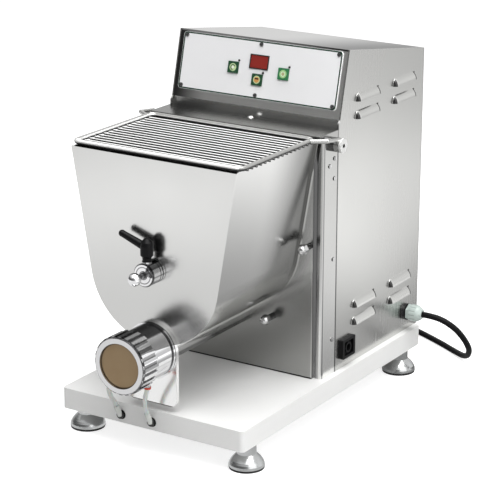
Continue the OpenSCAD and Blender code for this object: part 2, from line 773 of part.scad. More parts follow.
function inv(a) = tan(a) * 180 / PI - a;
function flank(n, r) =
    let (base = tooth_m * n * cos(pressure_angle) / 2)
    90 / n - backlash * 90 / (PI * tooth_m * n / 2) + inv(pressure_angle) - inv(acos(min(1, base / r)));
module gear_2d(n, phase) {
    pitch_r = tooth_m * n / 2;
    radii = [for (k = [0 : 4]) pitch_r + tooth_m * (-1.1 + 1.9 * k / 4)];
    half = [for (r = radii) [r, flank(n, max(r, pitch_r * cos(pressure_angle)))]];
    tooth = concat([for (h = half) [h[0], -h[1]]], [for (k = [4 : -1 : 0]) half[k]]);
    polygon([for (i = [0 : n - 1], p = tooth)
        let (a = phase + 360 * i / n + p[1]) p[0] * [cos(a), sin(a)]]);
}
screw_phase = 90 + 180 / screw_teeth;
drive_phase = 180 - screw_phase * screw_teeth / drive_teeth + 180 / drive_teeth;

module driven_gear(z, teeth, phase, front, tenon_w) {
    front_plate(gear_y, gear_t) translate([0, z]) gear_2d(teeth, phase);
    bar_y(0, z, gear_y - 2, gear_y + gear_t + 2, shaft_r + 6);
    bar_y(0, z, front, gear_case_back, shaft_r);
    box([-tenon_w / 2, front - tenon_len, z - tenon_w / 2], [tenon_w / 2, front + 1, z + tenon_w / 2]);
}

module screw_gear() color("goldenrod") placed()
    driven_gear(press_z, screw_teeth, screw_phase, screw_back, screw_tenon);

module mixer_gear() color("goldenrod") placed()
    driven_gear(mixer_z, mixer_teeth, 0, hopper_back - 1.5, tenon);

module drive_pinion() color("goldenrod") placed() {
    front_plate(gear_y, gear_t) translate([drive_x, press_z]) gear_2d(drive_teeth, drive_phase);
    bar_y(drive_x, press_z, gear_y, gear_case_back + pinion_tail, drive_shaft_r);
}

blade_spots = [0.16, 0.39, 0.62, 0.85];
module mixing_shaft() color("silver") placed() difference() {
    back = hopper_back - 1.5;
    union() {
        bar_y(0, mixer_z, shaft_front, back, mixer_r);
        for (i = [0 : len(blade_spots) - 1]) {
            y = shaft_front + (back - shaft_front) * blade_spots[i];
            translate([0, y, mixer_z]) rotate([0, 90 * i + 20, 0]) {
                cylinder(h = blade_reach - 8, r = 5);
                translate([0, 0, blade_reach - 14]) rotate([0, 0, 30]) translate([-2, -15, 0])
                    cube([4, 30, 13]);
            }
        }
    }
    bar_y(0, mixer_z, shaft_front - over, shaft_front + 18, pin_r + fit);
    box([-tenon / 2 - 0.1, back - tenon_len - 0.5, mixer_z - tenon / 2 - 0.1],
        [tenon / 2 + 0.1, back + over, mixer_z + tenon / 2 + 0.1]);
}

module bearing(x, z, y0, y1, r, r_in) difference() {
    bar_y(x, z, y0, y1, r);
    bar_y(x, z, y0 - over, y1 + over, r_in + fit);
}

module shaft_bearings() color("tan") placed() for (z = [press_z, mixer_z]) {
    bearing(0, z, plate_y + 0.5, frame_y + 4, plate_hole_r, shaft_r);
    bearing(0, z, gear_case_back - 8, gear_case_back, 16, shaft_r);
}

module shaft_seals() color("ivory") placed() {
    bearing(0, mixer_z, hopper_back, plate_y, seal_r, shaft_r);
    bearing(0, press_z, plate_y - 7.5, plate_y, bore_r - fit, shaft_r);
}

module case_outline(grow) {
    translate([0, mixer_z]) circle(tooth_m * mixer_teeth / 2 + gear_space + grow);
    translate([0, press_z]) circle(tooth_m * screw_teeth / 2 + gear_space + grow);
    translate([drive_x, press_z]) circle(pinion_room + grow);
    translate([-link_hw - grow, press_z]) square([2 * (link_hw + grow), axis_gap]);
    translate([0, press_z - pinion_room - grow]) square([drive_x, 2 * (pinion_room + grow)]);
}

module gear_case() color("darkgray") placed() difference() {
    front_plate(frame_y, gear_case_back - frame_y) case_outline(case_wall);
    front_plate(frame_y - over, gear_room + over) case_outline(0);
    for (z = [press_z, mixer_z]) bar_y(0, z, frame_y, gear_case_back + over, 16 + fit);
    bar_y(drive_x, press_z, frame_y, gear_case_back + over, drive_shaft_r + 2);
}

module gearmotor() color("steelblue") placed() difference() {
    union() {
        bar_y(drive_x, press_z, gear_case_back, gear_case_back + 8, motor_r - 22);
        bar_y(drive_x, press_z, gear_case_back + 7, reducer_back, motor_r - 11);
        bar_y(drive_x, press_z, reducer_back - 1, stator_back, motor_r - 4);
        for (y = [reducer_back + 2 : fin_step : stator_back - 4]) bar_y(drive_x, press_z, y, y + 3, motor_r);
        bar_y(drive_x, press_z, stator_back - 1, motor_back, motor_r);
        box([drive_x - motor_r + 18, reducer_back + 26, board_top],
            [drive_x + motor_r - 18, stator_back - 26, press_z - motor_r + 16]);
    }
    bar_y(drive_x, press_z, gear_case_back - over, gear_case_back + pinion_tail + 2, drive_shaft_r + fit);
}

module power_board() color("seagreen") placed() {
    box([power_x - 1.6, power_y, power_z], [power_x, power_y + power_len, power_z + power_h]);
    for (y = [8, power_len - 8], z = [8, power_h - 8])
        bar_x(power_y + y, power_z + z, -inner_hw, power_x - 1.5, 4);
    for (i = [0 : 2])
        box([power_x - 0.1, power_y + 12 + relay_step * i, power_z + power_h - 60],
            [power_x + 20, power_y + relay_step * (i + 1) + 4, power_z + power_h - 32]);
    bar_x(power_y + power_len - 35, power_z + power_h / 2 + 10, power_x - 0.1, power_x + 50, 17);
    box([power_x - 0.1, power_y + 20, power_z + 14], [power_x + 16, power_y + power_len - 50, power_z + 32]);
}

// ---- shaft lock on the hopper's front ----

module shaft_boss() color("silver") placed() difference() {
    union() {
        bar_y(0, mixer_z, boss_front, hopper_y, boss_r);
        bar_y(0, mixer_z, boss_front - boss_lip, boss_front + 0.1, boss_r - 1.5);
        bar_z(0, lever_y, mixer_z + pin_r + 2, lever_z, 7);
    }
    bar_y(0, mixer_z, boss_front - boss_lip - over, hopper_y + over, pin_r + fit);
    bar_z(0, lever_y, mixer_z + pin_r, lever_z + over, 4 + fit);
}

module pull_pin() color("silver") placed() {
    bar_y(0, mixer_z, boss_front - boss_lip - 1, shaft_front + 15, pin_r);
    bar_y(0, mixer_z, ball_y, boss_front - boss_lip, 4);
    translate([0, ball_y, mixer_z]) sphere(r = ball_r);
}

module clamp_lever() color("black") placed() translate([0, lever_y, lever_z + gap]) {
    rotate_extrude() polygon([[0, 0], [5.8, 0], [6.3, 5], [8.8, 8], [8.8, lever_h - 10], [7.8, lever_h - 5],
                              [5, lever_h - 1.5], [3.6, lever_h], [0, lever_h]]);
    arm = [-lever_reach * cos(lever_rise), 0, 18 + lever_reach * sin(lever_rise)];
    rod([-3, 0, 19], arm, 5.8, 4.6);
    translate(arm) sphere(r = 4.8);
    bar_z(0, 0, -lever_z - gap + mixer_z + pin_r + 1.5, 1, 4);
}

module fixing_studs() color("lightgray") placed() for (s = stud_spots, m = [-1, 1])
    translate([m * s.x, plate_y, s.y]) rotate([90, 0, 0]) {
        translate([0, 0, -plate_t]) cylinder(h = stud_out + plate_t - 4, r = stud_r);
        translate([0, 0, stud_out - 9]) cylinder(h = 7, r = 7.4, $fn = 6);
        translate([0, 0, stud_out - 2.5]) intersection() {
            sphere(r = 6.6);
            cylinder(h = 10, r = 7);
        }
        for (z = [1 : 3 : stud_out - 12]) translate([0, 0, z]) cylinder(h = 1.5, r = stud_r + 0.6);
    }

// ---- wire lid ----

module lid_corner_rod(x, y, turn) translate([x, y, lid_z]) rotate([0, 0, turn])
    rotate_extrude(angle = 90) translate([lid_corner, 0]) circle(lid_rod_r, $fn = 32);

module wire_lid() color("silver") placed() {
    cx = lid_hw - lid_corner;
    y0 = lid_front + lid_corner;
    y1 = lid_back - lid_corner;
    for (y = [lid_front, lid_back]) bar_x(y, lid_z, -cx, cx, lid_rod_r);
    for (x = [-lid_hw, lid_hw]) bar_y(x, lid_z, y0, y1, lid_rod_r);
    lid_corner_rod(cx, y1, 0);
    lid_corner_rod(-cx, y1, 90);
    lid_corner_rod(-cx, y0, 180);
    lid_corner_rod(cx, y0, 270);
    step = (lid_back - lid_front) / (lid_bars + 1);
    tip = lid_hw + lid_rod_r + 1;
    for (i = [1 : lid_bars]) bar_x(lid_front + step * i, bar_z, -tip, tip, lid_bar_r);
}

module lid_arms() color("silver") placed() both_sides() {
    root = [lid_hw, lid_back - 12, lid_z];
    elbow = [arm_x, lid_back + 2, lid_z];
    end = [arm_x, hinge_y - 1, hinge_z + hinge_pin_r + arm_r + 1];
    rod(root, elbow, arm_r);
    translate(elbow) sphere(r = arm_r + 0.2);
    rod(elbow, end, arm_r);
    translate(end) sphere(r = arm_r + 0.2);
    difference() {
        bar_x(hinge_y, hinge_z, eye_x, eye_x + eye_t, hinge_r);
        bar_x(hinge_y, hinge_z, eye_x - over, eye_x + eye_t + over, hinge_pin_r + fit);
    }
}

module hinge_bosses() color("silver") placed() both_sides() {
    bar_x(hinge_y, hinge_z, case_hw, case_hw + boss_out, hinge_r);
    bar_x(hinge_y, hinge_z, case_hw - 8, cap_x, hinge_pin_r);
}

module hinge_caps() color("white") placed() both_sides() difference() {
    bar_x(hinge_y, hinge_z, cap_x, cap_x + cap_t, hinge_r);
    bar_x(hinge_y, hinge_z, cap_x + cap_t - 1.5, cap_x + cap_t + over, 2.6);
}

// ---- electrical fittings on the right side ----

module gland_washer() color("black") placed() difference() {
    bar_x(gland_y, gland_z, washer_x, hex_x, gland_ring_r);
    bar_x(gland_y, gland_z, washer_x - over, hex_x + over, gland_r + fit);
}

module gland_body() color("lightgray") placed() {
    bar_x(gland_y, gland_z, inner_hw - 12, hex_x + 0.1, gland_r);
    bar_x(gland_y, gland_z, case_hw, washer_x, gland_ring_r);
    bar_x(gland_y, gland_z, hex_x, nut_x - 0.8, gland_hex_r, $fn = 6);
    bar_x(gland_y, gland_z, nut_x - 1, nut_x, gland_r + 0.5);
    bar_x(gland_y, gland_z, inner_hw - 6, inner_hw, gland_hex_r, $fn = 6);
}

module gland_nut() color("lightgray") placed() translate([nut_x, gland_y, gland_z]) rotate([0, 90, 0]) {
    len = gland_tip - nut_x;
    rotate([0, 0, 15]) cylinder(h = len - 9, r = gland_hex_r, $fn = 12);
    rotate_extrude() polygon([[0, len - 10], [gland_r + 2, len - 10], [gland_r + 2, len - 8],
                              [gland_r, len - 4], [lead_r + 3, len - 1], [lead_r + 2, len], [0, len]]);
}

module outlet_socket() color("black") placed() difference() {
    union() {
        side_plate(case_hw, outlet_out) translate([outlet_y, outlet_z]) rounded(outlet_w, outlet_h, 2);
        box([case_hw - 20, outlet_y - 13 + gap, outlet_z - 11 + gap],
            [case_hw + 1, outlet_y + 13 - gap, outlet_z + 11 - gap]);
    }
    difference() {
        side_plate(case_hw + outlet_out - 4, 6) translate([outlet_y, outlet_z])
            rounded(outlet_w - 10, outlet_h - 8, 2);
        bar_x(outlet_y, outlet_z, case_hw, case_hw + outlet_out - 1, outlet_bore_r + 2.5);
    }
    bar_x(outlet_y, outlet_z, case_hw - 8, case_hw + outlet_out + over, outlet_bore_r);
}

// ---- water cooling of the mouth ----

module cooling_hoses() color("lightcyan") placed()
    for (p = [hose_right, hose_left]) tube(p, hose_r, hose_sides);

module hose_fittings() color("silver") placed() {
    for (p = [hose_right, hose_left]) {
        bar_y(p[0].x, tap_z, -3, 10, 4);
        bar_y(p[0].x, tap_z, -4, 0, 5.5);
        rod([p[0].x, -3, tap_z], p[0], 3.8);
    }
    for (p = [hose_right, hose_left]) {
        top = p[len(p) - 1];
        way = unit(top - p[len(p) - 2]);
        rod(top, top + 9 * way, 4.2);
    }
}

module hose_collars() color("red") placed() {
    n = len(hose_right);
    way = unit(hose_right[n - 1] - hose_right[n - 2]);
    difference() {
        rod(hose_right[n - 1], hose_right[n - 1] + 2.4 * way, 5.2);
        rod(hose_right[n - 1] - way, hose_right[n - 1] + 4 * way, 4.2 + fit);
    }
}

// ---- power lead ----

function coil_point(turn) =
    let (a = 90 + 360 * turn,
         back = turn - coil_turns,
         r = coil_out_r - coil_pitch * (coil_turns - abs(back)),
         climb = max(0, min(1, back * 2 + 0.5)))
    coil_at + [r * cos(a), r * sin(a), coil_pitch * climb];
coil_path = concat([[10, coil_at.y + coil_out_r, coil_at.z]],
                   [for (i = [0 : 2 * coil_turns * coil_rings]) coil_point(i / coil_rings)],
                   [[-10, coil_at.y + coil_out_r, coil_at.z + coil_pitch]]);
function path_length(p) = len(p) < 2 ? 0 : sum_steps(p, 1);
function sum_steps(p, i) = i == len(p) ? 0 : norm(p[i] - p[i - 1]) + sum_steps(p, i + 1);
function least_apart(p, skip) =
    min([for (i = [0 : len(p) - 1 - skip], j = [i + skip : len(p) - 1]) norm(p[i] - p[j])]);

module power_lead() color("black") tube(lead_route, lead_r, lead_sides);
module lead_coil() color("black") tube(coil_path, lead_r, coil_sides);
module lead_tail() color("black") tube(tail_route, lead_r, lead_sides);

module at_plug() translate(plug_at) rotate([0, 0, plug_turn]) rotate([0, 90, 0]) children();

module plug_body() color("black") at_plug() difference() {
    union() {
        cylinder(h = 14, r1 = lead_r + 1.5, r2 = 9);
        translate([0, 0, 13.9]) cylinder(h = 14, r1 = 11, r2 = 18.5);
        translate([0, 0, 27.8]) cylinder(h = 16, r = 18.5);
    }
    for (m = [-9.5, 9.5]) translate([0, m, 32]) cylinder(h = 20, r = 2.4 + fit);
}

module plug_pins() color("silver") at_plug()
    for (m = [-9.5, 9.5]) translate([0, m, 32.2]) cylinder(h = 31, r = 2.4);

echo(lead_mm = path_length(lead_route) + path_length(coil_path) + path_length(tail_route),
     coil_gap = least_apart(coil_path, coil_rings / 2) - lead_d);

base_board();
foot_front_left();
foot_front_right();
foot_rear_left();
foot_rear_right();
casing_screws();
column_frame();
column_plate();
column_cover();
side_panel_right();
side_panel_left();
top_panel();
rear_panel();
head_fascia();
control_panel();
display_bezel();
display_window();
button_left();
button_middle();
button_right();
led_lenses();
control_board();
hopper_trough();
hopper_front();
hopper_rear();
barrel();
mouth_plate();
mouth_body();
ring_nut();
die();
press_screw();
screw_gear();
mixing_shaft();
mixer_gear();
drive_pinion();
shaft_bearings();
shaft_seals();
gear_case();
gearmotor();
power_board();
shaft_boss();
pull_pin();
clamp_lever();
fixing_studs();
wire_lid();
lid_arms();
hinge_bosses();
hinge_caps();
gland_washer();
gland_body();
gland_nut();
outlet_socket();
cooling_hoses();
hose_fittings();
hose_collars();
power_lead();
lead_coil();
lead_tail();
plug_body();
plug_pins();
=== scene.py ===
import math

import bmesh
import bpy
from mathutils import Matrix, Vector


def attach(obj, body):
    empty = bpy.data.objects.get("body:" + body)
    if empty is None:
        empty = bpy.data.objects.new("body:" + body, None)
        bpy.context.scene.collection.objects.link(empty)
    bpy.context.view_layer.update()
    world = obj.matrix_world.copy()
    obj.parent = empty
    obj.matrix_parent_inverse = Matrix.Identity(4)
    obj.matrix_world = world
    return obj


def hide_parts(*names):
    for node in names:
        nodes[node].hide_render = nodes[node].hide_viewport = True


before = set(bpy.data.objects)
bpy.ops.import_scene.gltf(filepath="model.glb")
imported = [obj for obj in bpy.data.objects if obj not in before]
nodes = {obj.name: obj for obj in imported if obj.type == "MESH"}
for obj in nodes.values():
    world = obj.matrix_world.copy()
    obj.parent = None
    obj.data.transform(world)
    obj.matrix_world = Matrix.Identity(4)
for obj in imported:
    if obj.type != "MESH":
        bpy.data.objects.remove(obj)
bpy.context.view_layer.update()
scene = bpy.context.scene
print("stage: frame loaded,", len(nodes), "CAD pieces")


# objects and meshes

def addObject(name, data, finish=None):
    thing = bpy.data.objects.new(name, data)
    scene.collection.objects.link(thing)
    if finish:
        data.materials.append(finishes[finish])
    return thing


def meshData(name, mesh):
    # the data of a bmesh, with its faces turned outwards
    bmesh.ops.recalc_face_normals(mesh, faces=mesh.faces)
    data = bpy.data.meshes.new(name)
    mesh.to_mesh(data)
    mesh.free()
    return data


def bridge(mesh, a, b, smooth=False):
    # faces between two rings with the same number of points
    for i in range(len(a)):
        j = (i + 1) % len(a)
        mesh.faces.new((a[i], a[j], b[j], b[i])).smooth = smooth


def metres(points):
    return [tuple(c / 1000 for c in p) for p in points]


# camera

cameraSettings = {
    "place": (1.4705, -2.2809, 1.1010),
    "pitch": 72.29,
    "yaw": 32.42,
    "roll": 0.14,
    "lens": 144.56,
    "reach": 50,
}


def rotation(degrees, axis):
    return Matrix.Rotation(math.radians(degrees), 4, axis)


def makeCamera(s):
    data = bpy.data.cameras.new("productCamera")
    data.lens = s["lens"]
    data.clip_end = s["reach"]
    camera = addObject("productCamera", data)
    aim = rotation(s["yaw"], "Z") @ rotation(s["pitch"], "X")
    camera.matrix_world = Matrix.Translation(s["place"]) @ aim @ rotation(s["roll"], "Z")
    scene.camera = camera


makeCamera(cameraSettings)


# the power lead and the hoses

leadSettings = {
    "thickness": 0.009,
    "route": [(169, 250.5, 95), (182, 250.5, 95), (196, 251, 93.5), (209, 253.5, 88.5), (220, 259.5, 79),
              (227, 268, 66.5), (230, 279, 52), (228, 291.5, 38.5), (221, 305, 26), (211, 320, 16),
              (198, 334, 9), (182, 347, 6), (164, 359, 5), (144, 371, 5), (122, 383, 5), (99, 395, 5),
              (75, 406, 5), (50, 414, 5), (25, 418, 5), (10, 418, 5)],
    "tail": [(-10, 418, 14.6), (-20, 418, 14.6), (-38, 417, 13), (-58, 414, 9), (-78, 409, 7), (-98, 401, 9),
             (-116, 390, 14), (-130, 377, 18), (-139, 366, 19), (-145, 358, 19)],
    "coilCentre": (0, 360, 5),
    "coilOuter": 58,
    "coilPitch": 9.6,
    "coilTurns": 2,
    "pointsPerTurn": 24,
}


def coilPoint(turn, s):
    # two turns inwards on the table, a climb over half a turn, and two turns outwards on top
    angle = math.radians(90 + 360 * turn)
    back = turn - s["coilTurns"]
    reach = s["coilOuter"] - s["coilPitch"] * (s["coilTurns"] - abs(back))
    climb = max(0, min(1, back * 2 + 0.5))
    x, y, z = s["coilCentre"]
    return (x + reach * math.cos(angle), y + reach * math.sin(angle), z + s["coilPitch"] * climb)


def smoothPath(points, steps=4):
    # samples along a smooth curve through the points
    points = [Vector(p) for p in points]
    last = len(points) - 1
    along = [(points[min(i + 1, last)] - points[max(i - 1, 0)]).normalized() for i in range(len(points))]
    path = []
    for i, (start, end) in enumerate(zip(points[:-1], points[1:])):
        third = (end - start).length / 3
        leave, arrive = start + along[i] * third, end - along[i + 1] * third
        for k in range(steps):
            t = k / steps
            path.append((1 - t) ** 3 * start + 3 * t * (1 - t) ** 2 * leave + 3 * t * t * (1 - t) * arrive
                        + t ** 3 * end)
    return path + [points[-1]]


def pathLength(path):
    return sum((b - a).length for a, b in zip(path[:-1], path[1:]))


def smoothTube(name, path, radius, sides=14):
    mesh = bmesh.new()
    rings = []
    side = Vector((0, 0, 1))
    for i, here in enumerate(path):
        along = (path[min(i + 1, len(path) - 1)] - path[max(i - 1, 0)]).normalized()
        side = (side - along * side.dot(along)).normalized()
        up = along.cross(side)
        angles = [2 * math.pi * k / sides for k in range(sides)]
        around = [side * math.cos(a) + up * math.sin(a) for a in angles]
        rings.append([mesh.verts.new(here + radius * out) for out in around])
    for low, high in zip(rings[:-1], rings[1:]):
        bridge(mesh, low, high, smooth=True)
    mesh.faces.new(reversed(rings[0]))
    mesh.faces.new(rings[-1])
    return addObject(name, meshData(name, mesh))


def makeLead(s):
    turns = 2 * s["coilTurns"] * s["pointsPerTurn"]
    coil = [coilPoint(i / s["pointsPerTurn"], s) for i in range(turns + 1)]
    path = smoothPath(metres(s["route"] + coil + s["tail"]))
    lead = smoothTube("powerLead", path, s["thickness"] / 2)
    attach(lead, "machine")
    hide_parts("power_lead", "lead_coil", "lead_tail")
    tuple(path[0])
    pathLength(path)
    print("stage: lead of %.0f mm laid" % (1000 * pathLength(path)))
    return lead


hoseSettings = {
    "thickness": 0.0064,
    "right": [(3, -229.5, 65), (3.5, -232, 71), (5, -236, 79), (8, -240.5, 88), (11.7, -244, 96.5),
              (14.8, -245.7, 103.5), (16, -246, 109.5)],
    "left": [(-48, -229.5, 65), (-49, -232, 71), (-52, -236, 80), (-52, -240, 90), (-49, -243.5, 99),
             (-44, -245.5, 106), (-37.5, -246, 112.5), (-31.5, -246, 118.5)],
}


def makeHose(side, s):
    path = smoothPath(metres(s[side]))
    hose = smoothTube("coolingHose" + side.capitalize(), path, s["thickness"] / 2)
    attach(hose, "machine")
    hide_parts("cooling_hoses")
    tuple(path[0])
    pathLength(path)
    return hose


powerLead = makeLead(leadSettings)
hoses = [makeHose(side, hoseSettings) for side in ("right", "left")]
print("stage: lead and hoses laid")


# node trees

class Graph:
    # a node tree under construction: its calls take sockets or plain values, and most give a socket back
    def __init__(self, tree):
        self.tree = tree

    def new(self, kind):
        return self.tree.nodes.new("ShaderNode" + kind)

    def give(self, value, socket):
        if hasattr(value, "links"):
            self.tree.links.new(value, socket)
        elif value is not None:
            socket.default_value = value

    def math(self, operation, a, b=None, clamp=False):
        node = self.new("Math")
        node.operation = operation
        node.use_clamp = clamp
        self.give(a, node.inputs[0])
        self.give(b, node.inputs[1])
        return node.outputs[0]

    def plus(self, a, b):
        return self.math("ADD", a, b)

    def minus(self, a, b):
        return self.math("SUBTRACT", a, b)

    def times(self, a, b):
        return self.math("MULTIPLY", a, b)

    def inverse(self, share):
        return self.minus(1.0, share)

    def absolute(self, a):
        return self.math("ABSOLUTE", a)

    def hypot(self, a, b):
        return self.math("SQRT", self.plus(self.math("POWER", a, 2.0), self.math("POWER", b, 2.0)))

    def vectorMath(self, operation, a, b):
        node = self.new("VectorMath")
        node.operation = operation
        self.give(a, node.inputs[0])
        self.give(b, node.inputs[1])
        return node.outputs["Vector" if operation == "SUBTRACT" else "Value"]

    def ramp(self, value, low, high):
        # 0 at low, 1 at high, with eased ends
        node = self.new("MapRange")
        node.interpolation_type = "SMOOTHSTEP"
        node.inputs["From Min"].default_value = low
        node.inputs["From Max"].default_value = high
        self.give(value, node.inputs["Value"])
        return node.outputs["Result"]

    def part(self, vector, name):
        node = self.new("SeparateXYZ")
        self.give(vector, node.inputs[0])
        return node.outputs[name]

    def noise(self, vector, scale, detail, roughness=0.5):
        node = self.new("TexNoise")
        node.inputs["Detail"].default_value = detail
        node.inputs["Roughness"].default_value = roughness
        self.give(vector, node.inputs["Vector"])
        self.give(scale, node.inputs["Scale"])
        return node.outputs["Fac"]

    def mixShader(self, share, first, second):
        node = self.new("MixShader")
        self.give(share, node.inputs["Fac"])
        self.give(first, node.inputs[1])
        self.give(second, node.inputs[2])
        return node.outputs[0]


# shader groups shared by several finishes

def newGroup(name, inputs, outputs):
    tree = bpy.data.node_groups.new(name, "ShaderNodeTree")
    for label, value in inputs.items():
        kind = "NodeSocketVector" if label == "Vector" else "NodeSocketFloat"
        socket = tree.interface.new_socket(label, in_out="INPUT", socket_type=kind)
        if value is not None:
            socket.default_value = value
    for label in outputs:
        tree.interface.new_socket(label, in_out="OUTPUT", socket_type="NodeSocketFloat")
    return Graph(tree), tree.nodes.new("NodeGroupInput").outputs, tree.nodes.new("NodeGroupOutput").inputs


def makeBrushedGroup():
    # streaks: the caller squeezes the vector along the grain
    g, given, result = newGroup("brushedGrain", {"Vector": None, "Fineness": 900.0}, ["Tone", "Height"])
    broadScale, fineShare = 0.27, 0.6
    fine = g.noise(given["Vector"], given["Fineness"], detail=4.0, roughness=0.6)
    broad = g.noise(given["Vector"], g.times(given["Fineness"], broadScale), detail=2.0)
    g.give(g.plus(g.times(fine, fineShare), g.times(broad, 1 - fineShare)), result["Tone"])
    g.give(fine, result["Height"])
    return g.tree


def makeSmudgeGroup():
    # large soft patches, such as wiped finger marks and uneven polish
    g, given, result = newGroup("wipedSmudge", {"Vector": None, "Size": 9.0, "Contrast": 1.0}, ["Mask"])
    middle = 0.5
    patches = g.noise(given["Vector"], given["Size"], detail=3.0)
    strong = g.times(g.minus(patches, middle), given["Contrast"])
    g.give(g.math("ADD", strong, middle, clamp=True), result["Mask"])
    return g.tree


def makeGrainGroup():
    # the fine grain of moulded or painted surfaces
    g, given, result = newGroup("mouldedGrain", {"Vector": None, "Fineness": 1400.0}, ["Tone", "Height"])
    slowScale, fineShare = 14.0, 0.35
    fine = g.noise(given["Vector"], given["Fineness"], detail=2.0)
    slow = g.noise(given["Vector"], slowScale, detail=2.0)
    g.give(g.plus(g.times(fine, fineShare), g.times(slow, 1 - fineShare)), result["Tone"])
    g.give(fine, result["Height"])
    return g.tree


def makeBandGroup():
    # 1 where a value lies between two others, with soft ends
    inputs = {"Value": 0.0, "From": 0.0, "To": 1.0, "Soft": 0.0004}
    g, given, result = newGroup("heightBand", inputs, ["Mask"])
    rise = g.math("DIVIDE", g.minus(given["Value"], given["From"]), given["Soft"], clamp=True)
    fall = g.math("DIVIDE", g.minus(given["To"], given["Value"]), given["Soft"], clamp=True)
    g.give(g.times(rise, fall), result["Mask"])
    return g.tree


brushedGrain = makeBrushedGroup()
wipedSmudge = makeSmudgeGroup()
mouldedGrain = makeGrainGroup()
heightBand = makeBandGroup()


# materials

class Finish(Graph):
    # one material under construction, in the row frame's coordinates
    socketNames = {"metallic": "Metallic", "coat": "Coat Weight", "coatRoughness": "Coat Roughness",
                   "transmission": "Transmission Weight", "specular": "Specular IOR Level",
                   "subsurface": "Subsurface Weight"}

    def __init__(self, name, **values):
        self.material = bpy.data.materials.new(name)
        self.material.use_nodes = True
        super().__init__(self.material.node_tree)
        self.shader = self.tree.nodes["Principled BSDF"]
        self.inputs = self.shader.inputs
        self.place = self.new("TexCoord").outputs["Object"]
        for key, value in values.items():
            self.inputs[self.socketNames[key]].default_value = value

    def use(self, group, vector=None, **values):
        node = self.new("Group")
        node.node_tree = group
        if vector is not None:
            self.give(vector, node.inputs["Vector"])
        for key, value in values.items():
            self.give(value, node.inputs[key])
        return node.outputs

    def brushed(self, direction, fineness):
        node = self.new("Mapping")
        node.inputs["Scale"].default_value = direction
        self.give(self.place, node.inputs["Vector"])
        return self.use(brushedGrain, node.outputs["Vector"], Fineness=fineness)

    def moulded(self, fineness):
        return self.use(mouldedGrain, self.place, Fineness=fineness)

    def smudge(self, size, contrast=1.5):
        return self.use(wipedSmudge, self.place, Size=size, Contrast=contrast)["Mask"]

    def band(self, value, start, end, soft=0.0002):
        return self.use(heightBand, Value=value, From=start, To=end, Soft=soft)["Mask"]

    def blend(self, mask, first, second):
        node = self.new("Mix")
        node.data_type = "RGBA"
        self.give(mask, node.inputs["Factor"])
        for name, value in (("A", first), ("B", second)):
            self.give(value if hasattr(value, "links") else (*value, 1), node.inputs[name])
        return node.outputs["Result"]

    def mottled(self, mask, rgb, dark, light):
        return self.blend(mask, shade(rgb, dark), shade(rgb, light))

    def between(self, value, low, high):
        node = self.new("MapRange")
        node.inputs["To Min"].default_value = low
        node.inputs["To Max"].default_value = high
        self.give(value, node.inputs["Value"])
        return node.outputs["Result"]

    def axis(self, name):
        return self.part(self.place, name)

    def geometry(self, name="Normal"):
        return self.new("NewGeometry").outputs[name]

    def normal(self, name):
        return self.part(self.geometry(), name)

    def awayFrom(self, centre, axes):
        # how far each place lies from a point, along two axes
        return [self.minus(self.axis(name), at) for name, at in zip(axes, centre)]

    def bump(self, height, depth):
        node = self.new("Bump")
        node.inputs["Strength"].default_value = 1.0
        node.inputs["Distance"].default_value = depth
        self.give(height, node.inputs["Height"])
        self.give(node.outputs["Normal"], self.inputs["Normal"])

    def done(self, color, roughness):
        self.give(color, self.inputs["Base Color"])
        self.give(roughness, self.inputs["Roughness"])
        return self.material


def grey(value):
    return (value, value, value)


def shade(rgb, factor):
    return tuple(min(1, c * factor) for c in rgb)


maskSettings = {
    # the soft ends of the masks: widths in metres, and for the last two the values they run between
    "inside": 0.004,
    "sheet": 0.0004,
    "rearShadow": 0.0004,
    "band": 0.0003,
    "rib": 0.0006,
    "creaseShade": (0.05, 0.30),
    "edge": (0.80, 0.97),
}
edgeSamples = 4


def paintedShadeInsideMask(f, centre):
    # 1 on the faces that look towards this point, such as the inner sides of a tub, where painted shade goes
    away = f.vectorMath("SUBTRACT", f.place, centre)
    facing = f.vectorMath("DOT_PRODUCT", away, f.geometry())
    return f.inverse(f.ramp(facing, -maskSettings["inside"], maskSettings["inside"]))


def louvreEndShadeMask(f, s):
    # 1 on the drawn ends of the louvres, where painted shade darkens them
    forwards = f.ramp(f.times(f.normal("Y"), -1.0), s["from"], s["to"])
    backwards = f.ramp(f.normal("Y"), s["rearFrom"], s["rearTo"])
    proud = f.ramp(f.absolute(f.axis("X")), s["sheet"], s["sheet"] + maskSettings["sheet"])
    return f.times(f.math("MAXIMUM", forwards, backwards), proud)


def louvreRearShadowMask(f, s):
    # 1 on the sheet at the rear end of each louvre, where a painted shadow stands in for the shade behind it
    def anyOf(axis, starts, length):
        total = 0.0
        for start in starts:
            mask = f.band(f.axis(axis), start, start + length, maskSettings["rearShadow"])
            total = f.math("MAXIMUM", total, mask)
        return total

    return f.times(anyOf("Y", s["ends"], s["width"]), anyOf("Z", s["feet"], s["height"]))


def edgeMask(f, radius):
    # 1 along sharp edges, where a rounded normal leaves the true one
    soft = f.new("Bevel")
    soft.samples = edgeSamples
    soft.inputs["Radius"].default_value = radius
    facing = f.vectorMath("DOT_PRODUCT", soft.outputs["Normal"], f.geometry("True Normal"))
    return f.inverse(f.ramp(facing, *maskSettings["edge"]))


def holeShadeMask(f, s):
    # 1 inside a round hole whose axis lies along X, where painted shade darkens it
    return f.math("LESS_THAN", f.hypot(*f.awayFrom(s["centre"], "YZ")), s["radius"])


def ribShadeMask(f, s):
    # 1 in the creases between the flats of a nut whose axis lies along X, where painted shade darkens them
    across, up = f.awayFrom(s["centre"], "YZ")
    turn = f.times(f.math("ARCTAN2", up, across), s["count"] / 2)
    creaseShade = f.inverse(f.ramp(f.absolute(f.math("SINE", turn)), *maskSettings["creaseShade"]))
    return f.times(creaseShade, f.band(f.axis("X"), s["from"], s["to"], maskSettings["rib"]))


